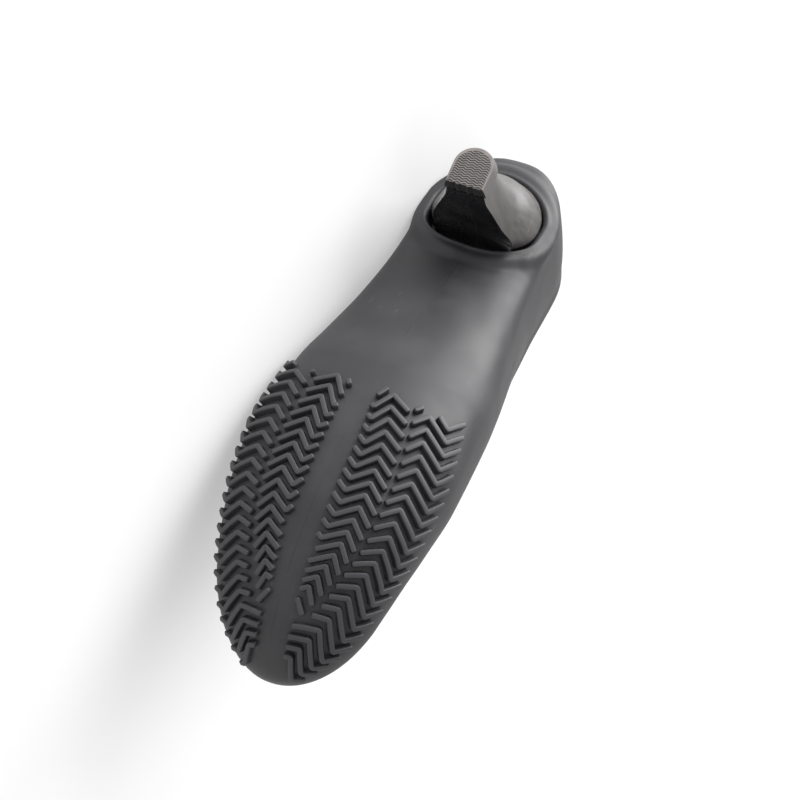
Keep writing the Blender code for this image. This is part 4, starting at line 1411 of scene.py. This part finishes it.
@dataclass(frozen=True)
class LiftFinish:
    """Worn grey-beige rubber, dark in its grooves and on its broken front edge."""

    face: Tone = (0.190, 0.172, 0.163, 1.0)
    dusty: Tone = (0.260, 0.238, 0.226, 1.0)
    groove: Tone = (0.010, 0.009, 0.009, 1.0)
    band: Tone = (0.110, 0.103, 0.101, 1.0)
    broken: Tone = (0.006, 0.006, 0.006, 1.0)
    roughness: Pair = (0.62, 0.85)
    grain_cells: Pair = (5200.0, 320.0)
    mark_cells: Pair = (1500.0, 160.0)
    groove_pitch: float = 0.00104
    groove_share: float = 0.58
    wave_height: float = 0.00028
    wave_length: float = 0.0028
    bump_depth: float = 0.00012

    def grooves(self, nodes: NodeSheet, place: Socket) -> Socket:
        """Share of a groove at each place: rows across the heel, each a sine along y.

        Args:
            nodes: Nodes of the material.
            place: Pattern coordinates.

        Returns:
            1 in a groove and 0 beside it.
        """
        parts = nodes.split(place)
        wave = nodes.math(Op.SINE, nodes.times(parts["Y"], 2 * math.pi / self.wave_length))
        along = nodes.plus(parts["X"], nodes.times(wave, self.wave_height))
        phase = nodes.math(Op.FRACT, nodes.times(along, 1.0 / self.groove_pitch))
        away = nodes.math(Op.ABSOLUTE, nodes.math(Op.SUBTRACT, phase, 0.5))
        line = nodes.ramp(away, 0.3 * self.groove_share, 0.7 * self.groove_share, 1.0, 0.0)
        return nodes.times(line, nodes.ramp(nodes.value("pattern"), 0.85, 1.1))

    def build(self, pose: RestingPose, grain: MouldedGrain,
              marks: RubbedMarks) -> bpy.types.Material:
        """Makes the material from the grooves and the piece's face and front values."""
        material, nodes, place = start_material("worn_lift_rubber", pose)
        skin = grain.place(nodes, place, self.grain_cells)
        scuffs = marks.place(nodes, place, self.mark_cells)["Mark"]
        dust = nodes.math(Op.MAXIMUM, skin["Cloud"], scuffs)
        groove = self.grooves(nodes, place)
        top = nodes.mix(dust, self.face, self.dusty)
        top = nodes.mix(nodes.times(groove, 0.9), top, self.groove)
        front = nodes.value("front")
        side = nodes.mix(front, self.band, self.broken)
        rough_edge = nodes.plus(nodes.times(front, 1.6), 0.5)
        height = nodes.math(Op.SUBTRACT, nodes.times(skin["Height"], rough_edge), groove)
        fill_shader(nodes, Base_Color=nodes.mix(nodes.value("face"), side, top),
                    Roughness=nodes.ramp(dust, 0.0, 1.0, *self.roughness),
                    Normal=bump(nodes, height, self.bump_depth))
        return material


@dataclass(frozen=True)
class Studio:
    """Plain pale floor, soft light and the camera at the photograph's angle to the shoe."""

    eye: Point = (0.4882, -0.2572, -0.8092)
    right: Point = (-0.3800, -0.9180, 0.1132)
    down: Point = (0.8433, -0.2936, 0.4501)
    focal_px: float = 2600.0
    image_px: float = 800.0
    sensor_mm: float = 36.0
    view_end: float = 200.0
    floor_half: float = 30.0
    floor_ticks: int = 41
    floor_tones: tuple[Tone, Tone] = ((0.50, 0.50, 0.501, 1.0), (0.52, 0.52, 0.52104, 1.0))
    floor_cells: float = 9.0
    floor_glow: float = 0.40
    white: Tone = (1.0, 1.0, 1.0, 1.0)
    world_light: float = 0.70
    key_from: Point = (-0.96, -0.24, 0.16)
    key_strength: float = 8.0
    key_spread_deg: float = 75.0

    def floor(self) -> bpy.types.Object:
        """The floor: a flat sheet, finer near the shoe, that glows faintly like a lit sweep."""
        ticks = np.linspace(-1, 1, self.floor_ticks)
        ticks = self.floor_half * np.sign(ticks) * np.abs(ticks) ** 3
        plan = np.stack(np.meshgrid(ticks, ticks, indexing="ij"), axis=-1).reshape(-1, 2)
        still = RestingPose(0.0, 0.0, (0.0, 0.0, 0.0))
        material, nodes, place = start_material("pale_floor", still)
        mottle = nodes.ramp(nodes.noise(place, self.floor_cells), 0.3, 0.7)
        fill_shader(nodes, Base_Color=nodes.mix(mottle, *self.floor_tones), Roughness=0.9,
                    Specular_IOR_Level=0.1, Emission_Color=self.white,
                    Emission_Strength=self.floor_glow)
        sheet = Sheet(raised(plan, 0.0), grid_quads(self.floor_ticks, self.floor_ticks))
        floor = make_piece("studio_floor", sheet, still, [material], 60.0)
        return floor

    def put(self, name: str, data: bpy.types.ID, turn: Array, place: Array) -> bpy.types.Object:
        """Puts a lamp or camera into the scene, turned by a matrix, at a place."""
        matrix = np.eye(4)
        matrix[:3, :3] = turn
        matrix[:3, 3] = place
        thing = bpy.data.objects.new(name, data)
        thing.matrix_world = Matrix(matrix.tolist())
        bpy.context.scene.collection.objects.link(thing)
        return thing

    def light(self) -> None:
        """A white surround and one broad sun."""
        scene = bpy.context.scene
        scene.world = bpy.data.worlds.new("studio_surround")
        scene.world.use_nodes = True
        surround = scene.world.node_tree.nodes["Background"].inputs
        surround["Color"].default_value = self.white
        surround["Strength"].default_value = self.world_light
        sun = bpy.data.lights.new("broad_key", "SUN")
        sun.energy = self.key_strength
        sun.angle = math.radians(self.key_spread_deg)
        towards = unit(np.array(self.key_from))
        side = unit(np.cross((0.0, 0.0, 1.0), towards))
        turn = np.stack([side, np.cross(towards, side), towards], axis=1)
        self.put("broad_key", sun, turn, np.zeros(3))
        scene.view_settings.view_transform = "Standard"

    def camera(self, pose: RestingPose) -> None:
        """The camera, turned with the shoe so that it keeps the photograph's angle to it."""
        right = unit(np.array(self.right))
        up = -np.array(self.down)
        up = unit(up - right * (up @ right))
        turn = pose.turn() @ np.stack([right, up, np.cross(right, up)], axis=1)
        lens = bpy.data.cameras.new("photo_camera")
        lens.sensor_width = self.sensor_mm
        lens.lens = self.focal_px * self.sensor_mm / self.image_px
        lens.clip_end = self.view_end
        camera = self.put("photo_camera", lens, turn, pose.lay(np.array(self.eye)))
        bpy.context.scene.camera = camera


def main() -> None:
    """Builds the cover, the heel, its lift and the studio."""
    logging.basicConfig(level=logging.INFO, format="%(name)s: %(message)s")
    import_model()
    pose = RestingPose()
    form = LastForm()
    opening = HeelOpening()
    heel = HeelForm(form, opening)
    grain, marks = MouldedGrain(), RubbedMarks()
    silicone = SiliconeFinish().build(pose, grain, marks)
    wrap = HeelWrapFinish().build(pose, grain, marks)
    breast = BreastFinish().build(pose, grain, marks)
    rubber = LiftFinish().build(pose, grain, marks)
    pieces = [
        CoverMoulding(form, opening, Tread(form)).dress(pose, silicone),
        HeelBlock(heel).dress(pose, wrap, breast),
        TopLift(heel).dress(pose, rubber),
    ]
    for piece in pieces:
        piece.data.calc_loop_triangles()
        LOG.info("%s: %d triangles", piece.name, len(piece.data.loop_triangles))
    studio = Studio()
    studio.floor()
    studio.light()
    studio.camera(pose)


if __name__ == "__main__":
    main()
